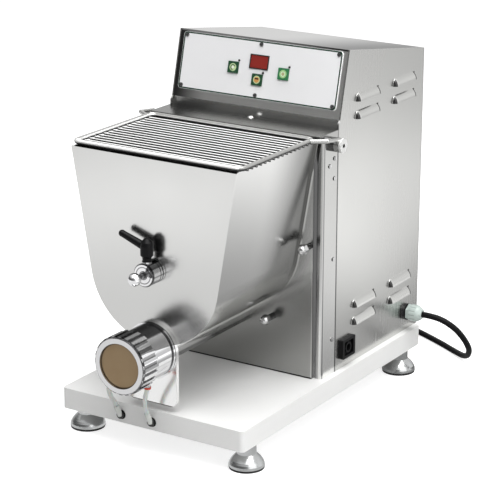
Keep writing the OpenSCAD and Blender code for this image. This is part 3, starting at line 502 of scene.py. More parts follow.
def addBands(f, tone, s):
    # dark seam lines, and bands of painted shade and painted highlight: each lies between two distances from
    # the machine's own middle planes or the table
    for axis, start, end, rgb in s.get("bands", []):
        tone = f.blend(f.band(f.absolute(f.axis(axis)), start, end, maskSettings["band"]), tone, rgb)
    return tone


# a lighter or darker tone along sharp edges: painted highlights and painted shade lines on the metal and the
# caps, a greyer edge on the board
def addEdges(f, tone, s):
    if "edge" not in s:
        return tone
    return f.blend(f.times(edgeMask(f, s["edge"]["radius"]), s["edge"]["share"]), tone, s["edge"]["rgb"])


def steelFinish(name, s):
    contrast, worn = 1.6, 0.97
    f = Finish(name, metallic=1.0)
    grain = f.brushed(s.get("grain", evenly), s["fineness"])
    smudge = f.smudge(s["smudge"], contrast)
    streaked = f.mottled(grain["Tone"], s["rgb"], 1 - s["streak"], 1 + s["streak"])
    tone = f.blend(smudge, streaked, shade(s["rgb"], worn))
    # painted shade on the faces that look inwards
    if "inside" in s:
        tone = f.blend(paintedShadeInsideMask(f, s["inside"]["centre"]), tone, s["inside"]["rgb"])
    # painted shade and light: a tone that ramps in along one axis
    if "paintedShadeRamp" in s:
        paintedShadeRamp = s["paintedShadeRamp"]
        tone = f.blend(f.ramp(f.axis(paintedShadeRamp["axis"]), paintedShadeRamp["from"], paintedShadeRamp["to"]), tone, paintedShadeRamp["rgb"])
    tone = addEdges(f, addBands(f, tone, s), s)
    # painted shade on the louvres' ends and a painted shadow behind them
    if "louvreShade" in s:
        louvreShade = s["louvreShade"]
        louvreDark = f.math("MAXIMUM", louvreEndShadeMask(f, louvreShade), louvreRearShadowMask(f, louvreShade))
        tone = f.blend(louvreDark, tone, louvreShade["rgb"])
    f.bump(grain["Height"], s.get("relief", 0.0))
    both = f.plus(f.times(grain["Tone"], 0.5), f.times(smudge, 0.5))
    return f.done(tone, f.between(both, *s["roughness"]))


def plasticFinish(name, s):
    dark, light = 0.93, 1.05
    f = Finish(name, coat=s.get("coat", 0.0), coatRoughness=0.08, specular=s.get("specular", 0.5))
    grain = f.moulded(s["fineness"])
    tone = f.mottled(grain["Tone"], s["rgb"], dark, light)
    # painted shade in a hole or in a nut's creases
    for key, mask in (("holeShade", holeShadeMask), ("ribShade", ribShadeMask)):
        if key in s:
            tone = f.blend(mask(f, s[key]), tone, s[key]["rgb"])
    f.bump(grain["Height"], s.get("relief", 0.0))
    return f.done(addEdges(f, addBands(f, tone, s), s), f.between(grain["Tone"], *s["roughness"]))


vertical = (1.0, 1.0, 0.02)
sideways = (0.02, 1.0, 1.0)
lengthways = (1.0, 0.02, 1.0)
evenly = (1.0, 1.0, 1.0)

columnSheet = {"grain": vertical, "fineness": 1200, "streak": 0.03, "roughness": (0.18, 0.28),
               "smudge": 8}
hopperSheet = {"grain": vertical, "fineness": 1500, "streak": 0.02, "roughness": (0.16, 0.25),
               "smudge": 7, "relief": 0.000003}
hopperMiddle = (0, -0.105, 0.300)
steelSettings = {
    "casingSteel": {
        "rgb": (0.62, 0.62, 0.605), "grain": vertical, "fineness": 1500, "streak": 0.015,
        "roughness": (0.22, 0.31), "smudge": 6, "relief": 0.000001,
        # painted shade on the louvres' ends, and a painted shadow on the sheet behind each rear end
        "louvreShade": {"rgb": (0.05, 0.05, 0.049), "from": 0.25, "to": 0.55, "rearFrom": 0.05,
                    "rearTo": 0.20, "sheet": 0.1402, "ends": (0.1438, 0.2513), "width": 0.0075,
                    "feet": (0.1235, 0.1495, 0.4270, 0.4520), "height": 0.0105},
        "bands": [("Y", 0.0390, 0.0410, grey(0.14)), ("Y", 0.2856, 0.2880, grey(0.16))],
        # painted highlight along the edges
        "edge": {"rgb": (0.80, 0.80, 0.79), "radius": 0.0008, "share": 0.5},
    },
    "topSteel": {
        "rgb": (0.72, 0.72, 0.71), "grain": lengthways, "fineness": 900, "streak": 0.05,
        "roughness": (0.24, 0.34), "smudge": 6, "relief": 0.000008,
        # painted shade: the roof darker towards the right
        "paintedShadeRamp": {"axis": "X", "from": -0.02, "to": 0.15, "rgb": (0.09, 0.09, 0.088)},
        "bands": [("X", 0.1364, 0.1385, grey(0.12))],
    },
    "frameSteel": {
        **columnSheet, "rgb": (0.50, 0.50, 0.49), "relief": 0.000002,
        # painted light: the frame lighter low down
        "paintedShadeRamp": {"axis": "Z", "from": 0.28, "to": 0.10, "rgb": (0.77, 0.77, 0.76)},
        "bands": [("X", 0.1270, 0.1345, grey(0.42)), ("X", 0.1292, 0.1318, grey(0.24)),
                  ("X", 0.1387, 0.1398, grey(0.24)), ("Y", 0.0374, 0.0400, grey(0.16))],
    },
    "columnSteel": {
        **columnSheet, "rgb": (0.37, 0.37, 0.36), "relief": 0.000003,
        # painted shade: the plate dark low down under the hopper, light above
        "paintedShadeRamp": {"axis": "Z", "from": 0.165, "to": 0.285, "rgb": (0.92, 0.92, 0.91)},
        # a painted highlight along the plate's rounded edge, and painted shade on its side face
        "bands": [("X", 0.1252, 0.1264, (0.80, 0.80, 0.79)), ("X", 0.1264, 0.1280, grey(0.34))],
    },
    "coverSteel": {
        "rgb": (0.46, 0.46, 0.45), "grain": sideways, "fineness": 1200, "streak": 0.05,
        "roughness": (0.20, 0.30), "smudge": 10, "relief": 0.000003,
        # painted shade: darker towards the left end
        "paintedShadeRamp": {"axis": "X", "from": -0.05, "to": -0.12, "rgb": (0.26, 0.26, 0.255)},
    },
    "fasciaSteel": {
        # painted shade: this dark tone only at the left end, fading to the light tone beyond
        "rgb": (0.08, 0.08, 0.078), "grain": sideways, "fineness": 1200, "streak": 0.04,
        "roughness": (0.26, 0.36), "smudge": 8, "relief": 0.000004,
        "paintedShadeRamp": {"axis": "X", "from": -0.138, "to": -0.080, "rgb": (0.88, 0.88, 0.86)},
        # painted shade lines along the edges
        "edge": {"rgb": grey(0.10), "radius": 0.0010, "share": 0.7},
    },
    "hopperSteel": {
        **hopperSheet, "rgb": (0.68, 0.68, 0.67),
        # painted shade on the trough's inner faces
        "inside": {"centre": hopperMiddle, "rgb": (0.10, 0.10, 0.099)},
        # painted shade: darker towards the rear
        "paintedShadeRamp": {"axis": "Y", "from": -0.125, "to": -0.005, "rgb": (0.22, 0.22, 0.215)},
        # painted highlight along the edges
        "edge": {"rgb": (0.86, 0.86, 0.85), "radius": 0.0008, "share": 0.5},
    },
    "rimSteel": {
        **hopperSheet, "rgb": (0.46, 0.46, 0.45),
        # painted shade on the inner faces, lighter than in the trough as this wall gets light from above
        "inside": {"centre": hopperMiddle, "rgb": (0.42, 0.42, 0.41)},
    },
    "plateSteel": {
        "rgb": (0.94, 0.94, 0.935), "grain": vertical, "fineness": 1200, "streak": 0.02,
        "roughness": (0.14, 0.22), "smudge": 20, "relief": 0.000003,
        # a painted shadow line along the plate's foot
        "bands": [("Z", 0.0735, 0.0753, grey(0.05))],
        # painted shade lines along the edges
        "edge": {"rgb": grey(0.20), "radius": 0.0009, "share": 0.6},
    },
    "wireSteel": {
        "rgb": (0.55, 0.55, 0.54), "grain": sideways, "fineness": 900, "streak": 0.03,
        "roughness": (0.20, 0.30), "smudge": 30, "relief": 0.000003,
    },
    "studSteel": {
        "rgb": grey(0.62), "fineness": 500, "streak": 0.02, "roughness": (0.08, 0.14), "smudge": 60,
        "bands": [("Y", 0.0020, 0.0182, grey(0.03))]
        + [("Y", y / 1000, (y + 1.5) / 1000, grey(0.46)) for y in (4, 7, 10, 13, 16)],
        "edge": {"rgb": grey(0.02), "radius": 0.0012, "share": 0.95},
    },
    "bossSteel": {
        "rgb": grey(0.20), "fineness": 600, "streak": 0.03, "roughness": (0.12, 0.22), "smudge": 60,
    },
    "foodSteel": {
        "rgb": (0.50, 0.50, 0.49), "fineness": 300, "streak": 0.05,
        "roughness": (0.25, 0.38), "smudge": 20, "relief": 0.00001,
    },
    "gearSteel": {
        "rgb": (0.30, 0.30, 0.31), "fineness": 400, "streak": 0.08,
        "roughness": (0.3, 0.45), "smudge": 30, "relief": 0.00003,
    },
    "bushBronze": {
        "rgb": (0.50, 0.37, 0.19), "fineness": 500, "streak": 0.06,
        "roughness": (0.3, 0.42), "smudge": 40, "relief": 0.00002,
    },
    "castAluminium": {
        "rgb": (0.48, 0.49, 0.50), "fineness": 420, "streak": 0.10,
        "roughness": (0.42, 0.58), "smudge": 20, "relief": 0.0001,
    },
    "plugBrass": {
        "rgb": (0.74, 0.70, 0.60), "fineness": 600, "streak": 0.03,
        "roughness": (0.14, 0.24), "smudge": 60,
    },
}
softBlack = {"rgb": (0.006, 0.006, 0.0065), "specular": 0.12, "fineness": 1100}
buttonCap = {"fineness": 1200, "roughness": (0.36, 0.46), "relief": 0.00001}
printed = {"fineness": 1200, "roughness": (0.4, 0.5)}
plasticSettings = {
    "boardWhite": {
        "rgb": (0.85, 0.85, 0.84), "fineness": 900, "roughness": (0.34, 0.46), "relief": 0.00004,
        "coat": 0.05, "edge": {"rgb": (0.70, 0.70, 0.69), "radius": 0.0015, "share": 0.35},
    },
    "panelWhite": {"rgb": (0.85, 0.85, 0.86), "fineness": 1500, "roughness": (0.30, 0.40), "relief": 0.00001},
    "panelGreen": {"rgb": (0.010, 0.040, 0.022), "fineness": 1500, "roughness": (0.35, 0.45)},
    "bezelBlack": {"rgb": (0.012, 0.010, 0.010), "fineness": 1500, "roughness": (0.30, 0.40)},
    "buttonDark": {"rgb": (0.010, 0.060, 0.024), **buttonCap},
    "buttonBright": {"rgb": (0.030, 0.190, 0.070), **buttonCap},
    "discPale": {"rgb": (0.52, 0.66, 0.36), **printed},
    "discLime": {"rgb": (0.36, 0.62, 0.26), **printed},
    "markWhite": {"rgb": (0.80, 0.82, 0.74), **printed},
    "markOrange": {"rgb": (0.62, 0.30, 0.09), **printed},
    "markTan": {"rgb": (0.44, 0.40, 0.20), **printed},
    "leverBlack": {**softBlack, "fineness": 900, "roughness": (0.26, 0.36), "relief": 0.00001},
    "capWhite": {
        "rgb": (0.70, 0.70, 0.69), "fineness": 900, "roughness": (0.3, 0.42), "relief": 0.00001,
        # painted shade in the hole
        "holeShade": {"centre": (0.0180, 0.4060), "radius": 0.0029, "rgb": grey(0.02)},
        # painted shade lines along the edges
        "edge": {"rgb": grey(0.12), "radius": 0.0010, "share": 0.6},
    },
    "glandGrey": {
        "rgb": (0.50, 0.57, 0.54), "fineness": 900, "roughness": (0.30, 0.42), "relief": 0.00003,
        "bands": [("X", 0.1390, 0.1436, (0.015, 0.015, 0.016))],
        # painted shade in the nut's creases
        "ribShade": {"centre": (0.2505, 0.095), "count": 12, "from": 0.1508, "to": 0.1612,
                 "rgb": (0.16, 0.20, 0.19)},
    },
    "rubberBlack": {**softBlack, "roughness": (0.45, 0.6), "relief": 0.00003},
    "leadBlack": {**softBlack, "roughness": (0.38, 0.52), "relief": 0.00003},
    "socketBlack": {**softBlack, "roughness": (0.3, 0.42), "relief": 0.00002},
    "collarRed": {"rgb": (0.56, 0.055, 0.025), "fineness": 900, "roughness": (0.3, 0.4)},
    "sealWhite": {"rgb": (0.78, 0.78, 0.75), "fineness": 700, "roughness": (0.4, 0.5), "relief": 0.00002},
    "boardGreen": {"rgb": (0.02, 0.16, 0.07), "fineness": 500, "roughness": (0.35, 0.5), "relief": 0.00003},
    "motorBlue": {"rgb": (0.08, 0.13, 0.20), "fineness": 500, "roughness": (0.4, 0.55), "relief": 0.00006},
}

# the heights of the two shafts, and the head's sloping face: a point on it and its tilt in degrees
screwHeight = 0.150
mixerHeight = 0.260
faceFrame = {"y": 0.044, "z": 0.433, "tilt": 14}
turnedSettings = {
    # streaks: painted reflections and shade, as darker stretches of the plating round the axis, as from, to
    # (degrees from the top), share kept
    # bands: painted shade, as darker rings along the axis, as from, to (Y), share kept
    # rings: painted shade, as darker rings on the flat faces, as from, to (radius), share kept
    "mouthChrome": {
        "height": screwHeight,
        "paintedStreaks": [(-28, 36, 0.10), (66, 78, 0.62), (96, 101, 0.45), (118, 132, 0.55)],
        "bands": [(-0.2186, -0.2160, 0.08), (-0.2128, -0.2118, 0.10)],
        "edge": {"rgb": grey(0.04), "radius": 0.0008, "share": 0.6},
    },
    "nutChrome": {
        "height": screwHeight,
        "paintedStreaks": [(-30, 8, 0.60), (66, 78, 0.72), (118, 132, 0.65)],
        "bands": [(-0.2848, -0.2842, 0.30)],
        "rings": [(0.0386, 0.0396, 0.25), (0.0318, 0.0386, 0.84), (0.0311, 0.0318, 0.30)],
        # painted shade in the grooves between the ribs
        "grooves": {"inner": 0.0370, "outer": 0.0402, "start": -0.2843, "end": -0.2500,
                    "soft": 0.0003, "kept": 0.42},
        "edge": {"rgb": grey(0.03), "radius": 0.0009, "share": 0.85},
    },
    "barrelSteel": {
        "height": screwHeight,
        "rgb": (0.97, 0.97, 0.96),
        "roughness": (0.16, 0.24),
        "paintedStreaks": [(88, 180, 0.40), (108, 180, 0.40)],
        "edge": {"rgb": grey(0.04), "radius": 0.0008, "share": 0.6},
    },
    "bossChrome": {
        "height": mixerHeight,
        "paintedStreaks": [(-12, 58, 0.20), (88, 100, 0.50)],
        "bands": [(-0.2276, -0.2262, 0.25), (-0.2125, -0.2100, 0.30), (-0.2074, -0.2060, 0.10)],
        "rings": [(0.0146, 0.0156, 0.10), (0.0104, 0.0122, 0.35)],
        "edge": {"rgb": grey(0.03), "radius": 0.0009, "share": 0.85},
    },
    "pinChrome": {
        "height": mixerHeight,
        "bands": [(-0.2472, -0.2060, 0.30)],
        "edge": {"rgb": grey(0.03), "radius": 0.0009, "share": 0.4},
    },
}
turnedShared = {
    "rgb": (0.84, 0.84, 0.85),
    # the tone that the painted shade and reflections darken towards
    "paintedShadeRgb": grey(0.01),
    "roughness": (0.05, 0.10),
    "smudge": 25,
    "flat": (0.5, 0.8),
    "streakSoft": 4.0,
    "soft": 0.0002,
    "paintedStreaks": [],
    "bands": [],
    "rings": [],
}


def turnedFinish(name, own):
    # bright plating whose tone changes round the axis as painted reflections, with painted shade in the
    # grooves, rings and corners
    s = {**turnedShared, **own}
    f = Finish(name, metallic=1.0)
    up = f.minus(f.axis("Z"), s["height"])
    angle = f.times(f.math("ARCTAN2", f.axis("X"), up), 180 / math.pi)
    radius = f.hypot(f.axis("X"), up)
    flat = f.ramp(f.absolute(f.normal("Y")), *s["flat"])
    curved = f.inverse(flat)

    def keep(tone, value, start, end, soft, kept, where):
        loss = f.times(f.times(f.band(value, start, end, soft), where), 1 - kept)
        return f.times(tone, f.inverse(loss))

    tone = 1.0
    for start, end, kept in s["paintedStreaks"]:
        tone = keep(tone, angle, start, end, s["streakSoft"], kept, curved)
    for start, end, kept in s["bands"]:
        tone = keep(tone, f.axis("Y"), start, end, s["soft"], kept, 1.0)
    for start, end, kept in s["rings"]:
        tone = keep(tone, radius, start, end, s["soft"], kept, flat)
    if "grooves" in s:
        cut = s["grooves"]
        along = f.band(f.axis("Y"), cut["start"], cut["end"], s["soft"])
        tone = keep(tone, radius, cut["inner"], cut["outer"], cut["soft"], cut["kept"], along)
    tone = addEdges(f, f.blend(tone, s["paintedShadeRgb"], s["rgb"]), s)
    return f.done(tone, f.between(f.smudge(s["smudge"]), *s["roughness"]))


tapFinishSettings = {
    "metal": grey(0.50),
    "sleeve": (0.66, 0.68, 0.65),
    "sleeveShades": (0.92, 1.05),
    # painted shade inside the bores
    "socket": grey(0.02),
    "sleeveBelow": 0.0700,
    "boreShadeFrom": -0.2224,
    "fineness": 600,
    "roughness": (0.16, 0.30),
}


def tapFinish(s):
    # milky sleeves over the lower nozzles, with painted shade where they enter the board, bare metal at the
    # mouth
    f = Finish("tapNozzle")
    low = f.math("LESS_THAN", f.axis("Z"), s["sleeveBelow"])
    boreShade = f.times(low, f.math("GREATER_THAN", f.axis("Y"), s["boreShadeFrom"]))
    grain = f.moulded(s["fineness"])["Tone"]
    sleeve = f.mottled(grain, s["sleeve"], *s["sleeveShades"])
    f.give(f.inverse(low), f.inputs["Metallic"])
    tone = f.blend(boreShade, f.blend(low, s["metal"], sleeve), s["socket"])
    return f.done(tone, f.between(grain, *s["roughness"]))


wireSettings = {
    "metallic": 0.5,
    # painted highlight on the bars, and painted shade on the undersides
    "bars": (0.95, 0.95, 0.94),
    "rods": (0.34, 0.34, 0.33),
    "undersideShade": grey(0.05),
    "turn": (-0.10, 0.35),
    "halfWidth": 0.1310,
    "front": -0.2060,
    "back": -0.0190,
    "fineness": 900,
    "smudge": 30,
    "relief": 0.000003,
    "roughness": (0.34, 0.46),
}


def wireFinish(s):
    # cross bars painted brighter than the frame rods round them, and painted shade on every underside
    f = Finish("wireLid", metallic=s["metallic"])
    across = f.math("LESS_THAN", f.absolute(f.axis("X")), s["halfWidth"])
    along = f.band(f.axis("Y"), s["front"], s["back"])
    grain = f.brushed(sideways, s["fineness"])
    tone = f.blend(f.times(across, along), s["rods"], s["bars"])
    tone = f.blend(f.ramp(f.normal("Z"), *s["turn"]), s["undersideShade"], tone)
    f.bump(grain["Height"], s["relief"])
    return f.done(tone, f.between(f.times(grain["Tone"], f.smudge(s["smudge"])), *s["roughness"]))


screwSettings = {
    "rgb": grey(0.60),
    # painted shade for the slots and rims
    "dark": grey(0.05),
    "roughness": (0.12, 0.22),
    "side": (0.1398, 0.1409),
    "face": (0.0013, 0.0022),
    "soft": 0.0001,
    "smudge": 60,
}


def screwFinish(s):
    # bright heads, with painted shade in their slots and round their rims
    f = Finish("screwSteel", metallic=1.0)
    tilt = math.radians(faceFrame["tilt"])
    up = f.times(f.minus(f.axis("Z"), faceFrame["z"]), math.sin(tilt))
    back = f.times(f.minus(f.axis("Y"), faceFrame["y"]), math.cos(tilt))
    side = f.band(f.absolute(f.axis("X")), *s["side"], s["soft"])
    face = f.band(f.minus(up, back), *s["face"], s["soft"])
    tone = f.blend(f.math("MAXIMUM", side, face), s["rgb"], s["dark"])
    return f.done(tone, f.between(f.smudge(s["smudge"]), *s["roughness"]))


clearSettings = {
    # a dark red window
    "displayRed": {
        "shader": {"coat": 0.5, "coatRoughness": 0.05}, "fineness": 900, "roughness": (0.2, 0.3),
        "dark": (0.235, 0.018, 0.014), "light": (0.285, 0.030, 0.022),
    },
    # milky silicone: pale, soft and slightly translucent
    "hoseMilky": {
        "shader": {"subsurface": 0.35, "transmission": 0.15, "coat": 0.3, "coatRoughness": 0.15},
        "fineness": 400, "roughness": (0.25, 0.4),
        "dark": (0.62, 0.64, 0.62), "light": (0.78, 0.80, 0.78),
    },
}


def clearFinish(name, s):
    # clear or milky silicone and plastic, of an even tone with a faint grain
    f = Finish(name, **s["shader"])
    grain = f.moulded(s["fineness"])["Tone"]
    return f.done(f.blend(grain, s["dark"], s["light"]), f.between(grain, *s["roughness"]))


bronzeSettings = {
    "metallic": 0.55,
    "height": screwHeight,
    "bloom": ((0.285, 0.195, 0.105), (0.345, 0.250, 0.145)),
    "smudge": 38,
    "contrast": 2.0,
    "rings": {"rgb": (0.26, 0.18, 0.10), "pace": 6200, "share": 0.3},
    # painted shade round the rim, where the recess's wall shades it
    "rim": {"rgb": (0.03, 0.02, 0.012), "from": 0.0288, "to": 0.0312, "share": 0.85},
    "relief": 0.000012,
    "roughness": (0.38, 0.52),
}


def bronzeFinish(s):
    # a turned bronze face: faint rings round the screw's axis, a dull bloom, and painted shade round its rim
    # from the recess it sits in
    f = Finish("dieBronze", metallic=s["metallic"])
    radius = f.hypot(f.axis("X"), f.minus(f.axis("Z"), s["height"]))
    wave = f.plus(f.times(f.math("SINE", f.times(radius, s["rings"]["pace"])), 0.5), 0.5)
    smudge = f.smudge(s["smudge"], s["contrast"])
    tone = f.blend(f.times(wave, s["rings"]["share"]), f.blend(smudge, *s["bloom"]), s["rings"]["rgb"])
    rim = f.ramp(radius, s["rim"]["from"], s["rim"]["to"])
    f.bump(wave, s["relief"])
    tone = f.blend(f.times(rim, s["rim"]["share"]), tone, s["rim"]["rgb"])
    return f.done(tone, f.between(smudge, *s["roughness"]))


footSettings = {
    "bell": ((0.50, 0.51, 0.51), (0.58, 0.59, 0.59)),
    "pad": grey(0.012),
    "padHeight": (-0.001, 0.0034),
    "padRougher": 0.45,
    "soft": 0.0001,
    "smudge": 30,
    "roughness": (0.20, 0.28),
}


def footFinish(s):
    # polished bell with a black rubber pad under it: the pad is the lowest 3.4 mm of the piece
    f = Finish("footChrome")
    pad = f.band(f.axis("Z"), *s["padHeight"], s["soft"])
    smudge = f.smudge(s["smudge"])
    f.give(f.inverse(pad), f.inputs["Metallic"])
    roughness = f.plus(f.between(smudge, *s["roughness"]), f.times(pad, s["padRougher"]))
    return f.done(f.blend(pad, f.blend(smudge, *s["bell"]), s["pad"]), roughness)


finishes = {}
for make, settings in ((steelFinish, steelSettings), (plasticFinish, plasticSettings),
                       (turnedFinish, turnedSettings), (clearFinish, clearSettings)):
    finishes.update({name: make(name, s) for name, s in settings.items()})
finishes["tapNozzle"] = tapFinish(tapFinishSettings)
finishes["wireLid"] = wireFinish(wireSettings)
finishes["screwSteel"] = screwFinish(screwSettings)
finishes["dieBronze"] = bronzeFinish(bronzeSettings)
finishes["footChrome"] = footFinish(footSettings)

wearers = {
    # the CAD pieces that wear each finish
    "boardWhite": ["base_board"], "screwSteel": ["casing_screws"], "frameSteel": ["column_frame"],
    "columnSteel": ["column_plate"], "coverSteel": ["column_cover"], "topSteel": ["top_panel"],
    "fasciaSteel": ["head_fascia"], "panelWhite": ["control_panel"], "displayRed": ["display_window"],
    "buttonBright": ["button_right"], "rimSteel": ["hopper_rear"], "barrelSteel": ["barrel"],
    "plateSteel": ["mouth_plate"], "mouthChrome": ["mouth_body"], "nutChrome": ["ring_nut"],
    "dieBronze": ["die"], "bushBronze": ["shaft_bearings"], "sealWhite": ["shaft_seals"],
    "castAluminium": ["gear_case"], "motorBlue": ["gearmotor"], "bossChrome": ["shaft_boss"],
    "pinChrome": ["pull_pin"], "leverBlack": ["clamp_lever"], "studSteel": ["fixing_studs"],
    "wireLid": ["wire_lid"], "wireSteel": ["lid_arms"], "bossSteel": ["hinge_bosses"],
    "capWhite": ["hinge_caps"], "rubberBlack": ["gland_washer"], "socketBlack": ["outlet_socket"],
    "hoseMilky": ["cooling_hoses"], "tapNozzle": ["hose_fittings"], "collarRed": ["hose_collars"],
    "plugBrass": ["plug_pins"],
    "casingSteel": ["side_panel_right", "side_panel_left", "rear_panel"],
    "bezelBlack": ["display_bezel", "led_lenses"],
    "buttonDark": ["button_left", "button_middle"],
    "boardGreen": ["control_board", "power_board"],
    "hopperSteel": ["hopper_trough", "hopper_front"],
    "foodSteel": ["press_screw", "mixing_shaft"],
    "gearSteel": ["screw_gear", "mixer_gear", "drive_pinion"],
    "glandGrey": ["gland_body", "gland_nut"],
    "leadBlack": ["power_lead", "lead_coil", "lead_tail", "plug_body"],
    "footChrome": ["foot_front_left", "foot_front_right", "foot_rear_left", "foot_rear_right"],
}


def dress(piece, finish):
    piece.data.materials.clear()
    piece.data.materials.append(finishes[finish])


for finish, names in wearers.items():
    for name in names:
        dress(nodes[name], finish)
dress(powerLead, "leadBlack")
for hose in hoses:
    dress(hose, "hoseMilky")
print("stage:", len(finishes), "finishes made")


# soft edges on the CAD pieces

edgeSettings = {
    # the edge's width in metres and its number of segments, and the pieces that have it
    (0.0018, 3): ["base_board"],
    (0.0012, 3): ["button_left", "button_middle", "button_right"],
    (0.0012, 2): ["plug_body"],
    (0.0008, 3): ["mouth_plate"],
    (0.0008, 2): ["hinge_caps", "column_cover", "column_plate"],
    (0.0007, 2): ["ring_nut"],
    (0.0006, 2): ["hopper_front", "hopper_rear", "mouth_body", "shaft_boss", "gland_nut", "top_panel"],
    (0.0005, 2): ["gland_body", "outlet_socket", "hinge_bosses"],
    (0.0004, 2): ["display_bezel"],
    (0.0003, 2): ["control_panel"],
}
bevelLimit = math.radians(40)


def softenEdges(piece, width, segments):
    bevel = piece.modifiers.new("softEdges", "BEVEL")
    bevel.width = width
    bevel.segments = segments
    bevel.limit_method = "ANGLE"
    bevel.angle_limit = bevelLimit
    bevel.harden_normals = False


for (width, segments), names in edgeSettings.items():
    for name in names:
        softenEdges(nodes[name], width, segments)


# small added pieces: printed line, button marks, black rings standing in for the shade in the bores, a black
# strip standing in for the shadow at the column's foot, and the coil's tie

def onFace(x, up, out):
    t = math.radians(faceFrame["tilt"])
    return Vector((x, faceFrame["y"] + up * math.sin(t) - out * math.cos(t),
                   faceFrame["z"] + up * math.cos(t) + out * math.sin(t)))


def joinRings(mesh, rings):
    # walls from each ring to the next, and from the last one back to the first
    for a, b in zip(rings, rings[1:] + rings[:1]):
        bridge(mesh, a, b)


def flatPiece(name, loops, out, thickness, finish, body):
    # a thin piece on the sloped face, between an outer outline and an optional inner one
    mesh = bmesh.new()
    lower = [[mesh.verts.new(onFace(x, v, out)) for x, v in loop] for loop in loops]
    upper = [[mesh.verts.new(onFace(x, v, out + thickness)) for x, v in loop] for loop in loops]
    for low, high in zip(lower, upper):
        bridge(mesh, low, high)
    for rings in (lower, upper):
        if len(rings) == 2:
            bridge(mesh, *rings)
        else:
            mesh.faces.new(rings[0])
    piece = addObject(name, meshData(name, mesh), finish)
    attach(piece, body)


def arc(at, radius, start, sweep, steps):
    angles = [math.radians(start + sweep * i / steps) for i in range(steps + 1)]
    return [(at[0] + radius * math.cos(a), at[1] + radius * math.sin(a)) for a in angles]


def circle(at, radius, steps=32):
    angles = [2 * math.pi * i / steps for i in range(steps)]
    return [(at[0] + radius * math.cos(a), at[1] + radius * math.sin(a)) for a in angles]


def roundedOutline(at, width, height, radius, steps=6):
    points = []
    for i, (sx, sy) in enumerate(((1, 1), (-1, 1), (-1, -1), (1, -1))):
        corner = (at[0] + sx * (width / 2 - radius), at[1] + sy * (height / 2 - radius))
        points += arc(corner, radius, 90 * i, 90, steps)
    return points


def arcBand(at, inner, outer, start, sweep, steps=18):
    return arc(at, outer, start, sweep, steps) + arc(at, inner, start, sweep, steps)[::-1]


panelDetails = {
    "centre": (0, 0.053),
    "size": (0.262, 0.082),
    "corner": 0.005,
    "panelTop": 0.0015,
    "lineInset": 0.0004,
    "lineWidth": 0.0020,
    "lineThickness": 0.00008,
    "capTop": 0.0032,
    "discRadius": 0.0056,
    "markThickness": 0.00014,
    "layer": 0.00012,
    "sunk": 0.00002,
    "buttons": {"left": (-0.0415, 0.052), "middle": (0, 0.039), "right": (0.0415, 0.052)},
}


def makePanelLine(s):
    w, h = s["size"]
    first, second = s["lineInset"], s["lineInset"] + s["lineWidth"]
    loops = [roundedOutline(s["centre"], w - 2 * i, h - 2 * i, s["corner"] - i) for i in (first, second)]
    flatPiece("panelLine", loops, s["panelTop"] - s["sunk"], s["lineThickness"], "panelGreen", "machine")


def makeButtonMarks(s):
    # each mark: its button and name, its outlines as shares of the disc's radius, its layer and its finish
    r = s["discRadius"]
    left, middle, right = (s["buttons"][side] for side in ("left", "middle", "right"))
    bar = roundedOutline((middle[0], middle[1] + 0.25 * r), 1.1 * r, 0.36 * r, 0.1 * r)
    marks = [
        ("left", "Disc", [circle(left, r)], 0, "discPale"),
        ("left", "Centre", [circle(left, 0.36 * r)], 1, "markWhite"),
        ("left", "Arrow", [arcBand(left, 0.5 * r, 0.72 * r, 20, 250)], 1, "buttonDark"),
        ("middle", "Disc", [circle(middle, r)], 0, "discPale"),
        ("middle", "Centre", [circle(middle, 0.76 * r)], 1, "markOrange"),
        ("middle", "Bar", [bar], 2, "bezelBlack"),
        ("right", "Disc", [circle(right, 1.04 * r)], 0, "discLime"),
        ("right", "Ring", [circle(right, 0.62 * r), circle(right, 0.48 * r)], 1, "markWhite"),
        ("right", "Centre", [circle(right, 0.40 * r)], 1, "markTan"),
    ]
    for side, name, loops, layer, finish in marks:
        out = s["capTop"] - s["sunk"] + s["layer"] * layer
        flatPiece(side + name, loops, out, s["markThickness"], finish, side + "_button")


tapSettings = {"spots": [(0.003, 0.048), (-0.048, 0.048)], "front": -0.218, "inner": 0.0054, "outer": 0.0070,
               "sunk": 0.0002, "proud": 0.0003, "steps": 28}


def makeBoreShadowRings(s):
    # black rings round the two bores in the board's front edge, standing in for the shade inside them
    for side, spot in zip(("Right", "Left"), s["spots"]):
        mesh = bmesh.new()
        rings = []
        for out, radius in ((-s["sunk"], s["inner"]), (-s["sunk"], s["outer"]), (s["proud"], s["outer"]),
                            (s["proud"], s["inner"])):
            outline = circle(spot, radius, s["steps"])
            rings.append([mesh.verts.new((x, s["front"] - out, z)) for x, z in outline])
        joinRings(mesh, rings)
        rim = addObject("boreShadowRing" + side, meshData("boreShadowRing" + side, mesh), "rubberBlack")
        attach(rim, "machine")


footShadowSettings = {"halfWidth": 0.1268, "front": -0.0037, "back": -0.0031, "low": 0.0661, "high": 0.0674}


def makeColumnFootShadow(s):
    # a thin black strip along the foot of the column plate, standing in for the shadow line where it meets
    # the board
    xs, ys, zs = (-s["halfWidth"], s["halfWidth"]), (s["front"], s["back"]), (s["low"], s["high"])
    data = bpy.data.meshes.new("columnFootShadow")
    corners = [(x, y, z) for x in xs for y in ys for z in zs]
    faces = [(0, 1, 3, 2), (4, 6, 7, 5), (0, 4, 5, 1), (2, 3, 7, 6), (0, 2, 6, 4), (1, 5, 7, 3)]
    data.from_pydata(corners, [], faces)
    footShadow = addObject("columnFootShadow", data, "rubberBlack")
    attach(footShadow, "machine")


tieSettings = {"inner": 0.0362, "outer": 0.0606, "low": 0.00042, "high": 0.0194, "thickness": 0.0004,
               "width": 0.011, "corner": 0.0042}


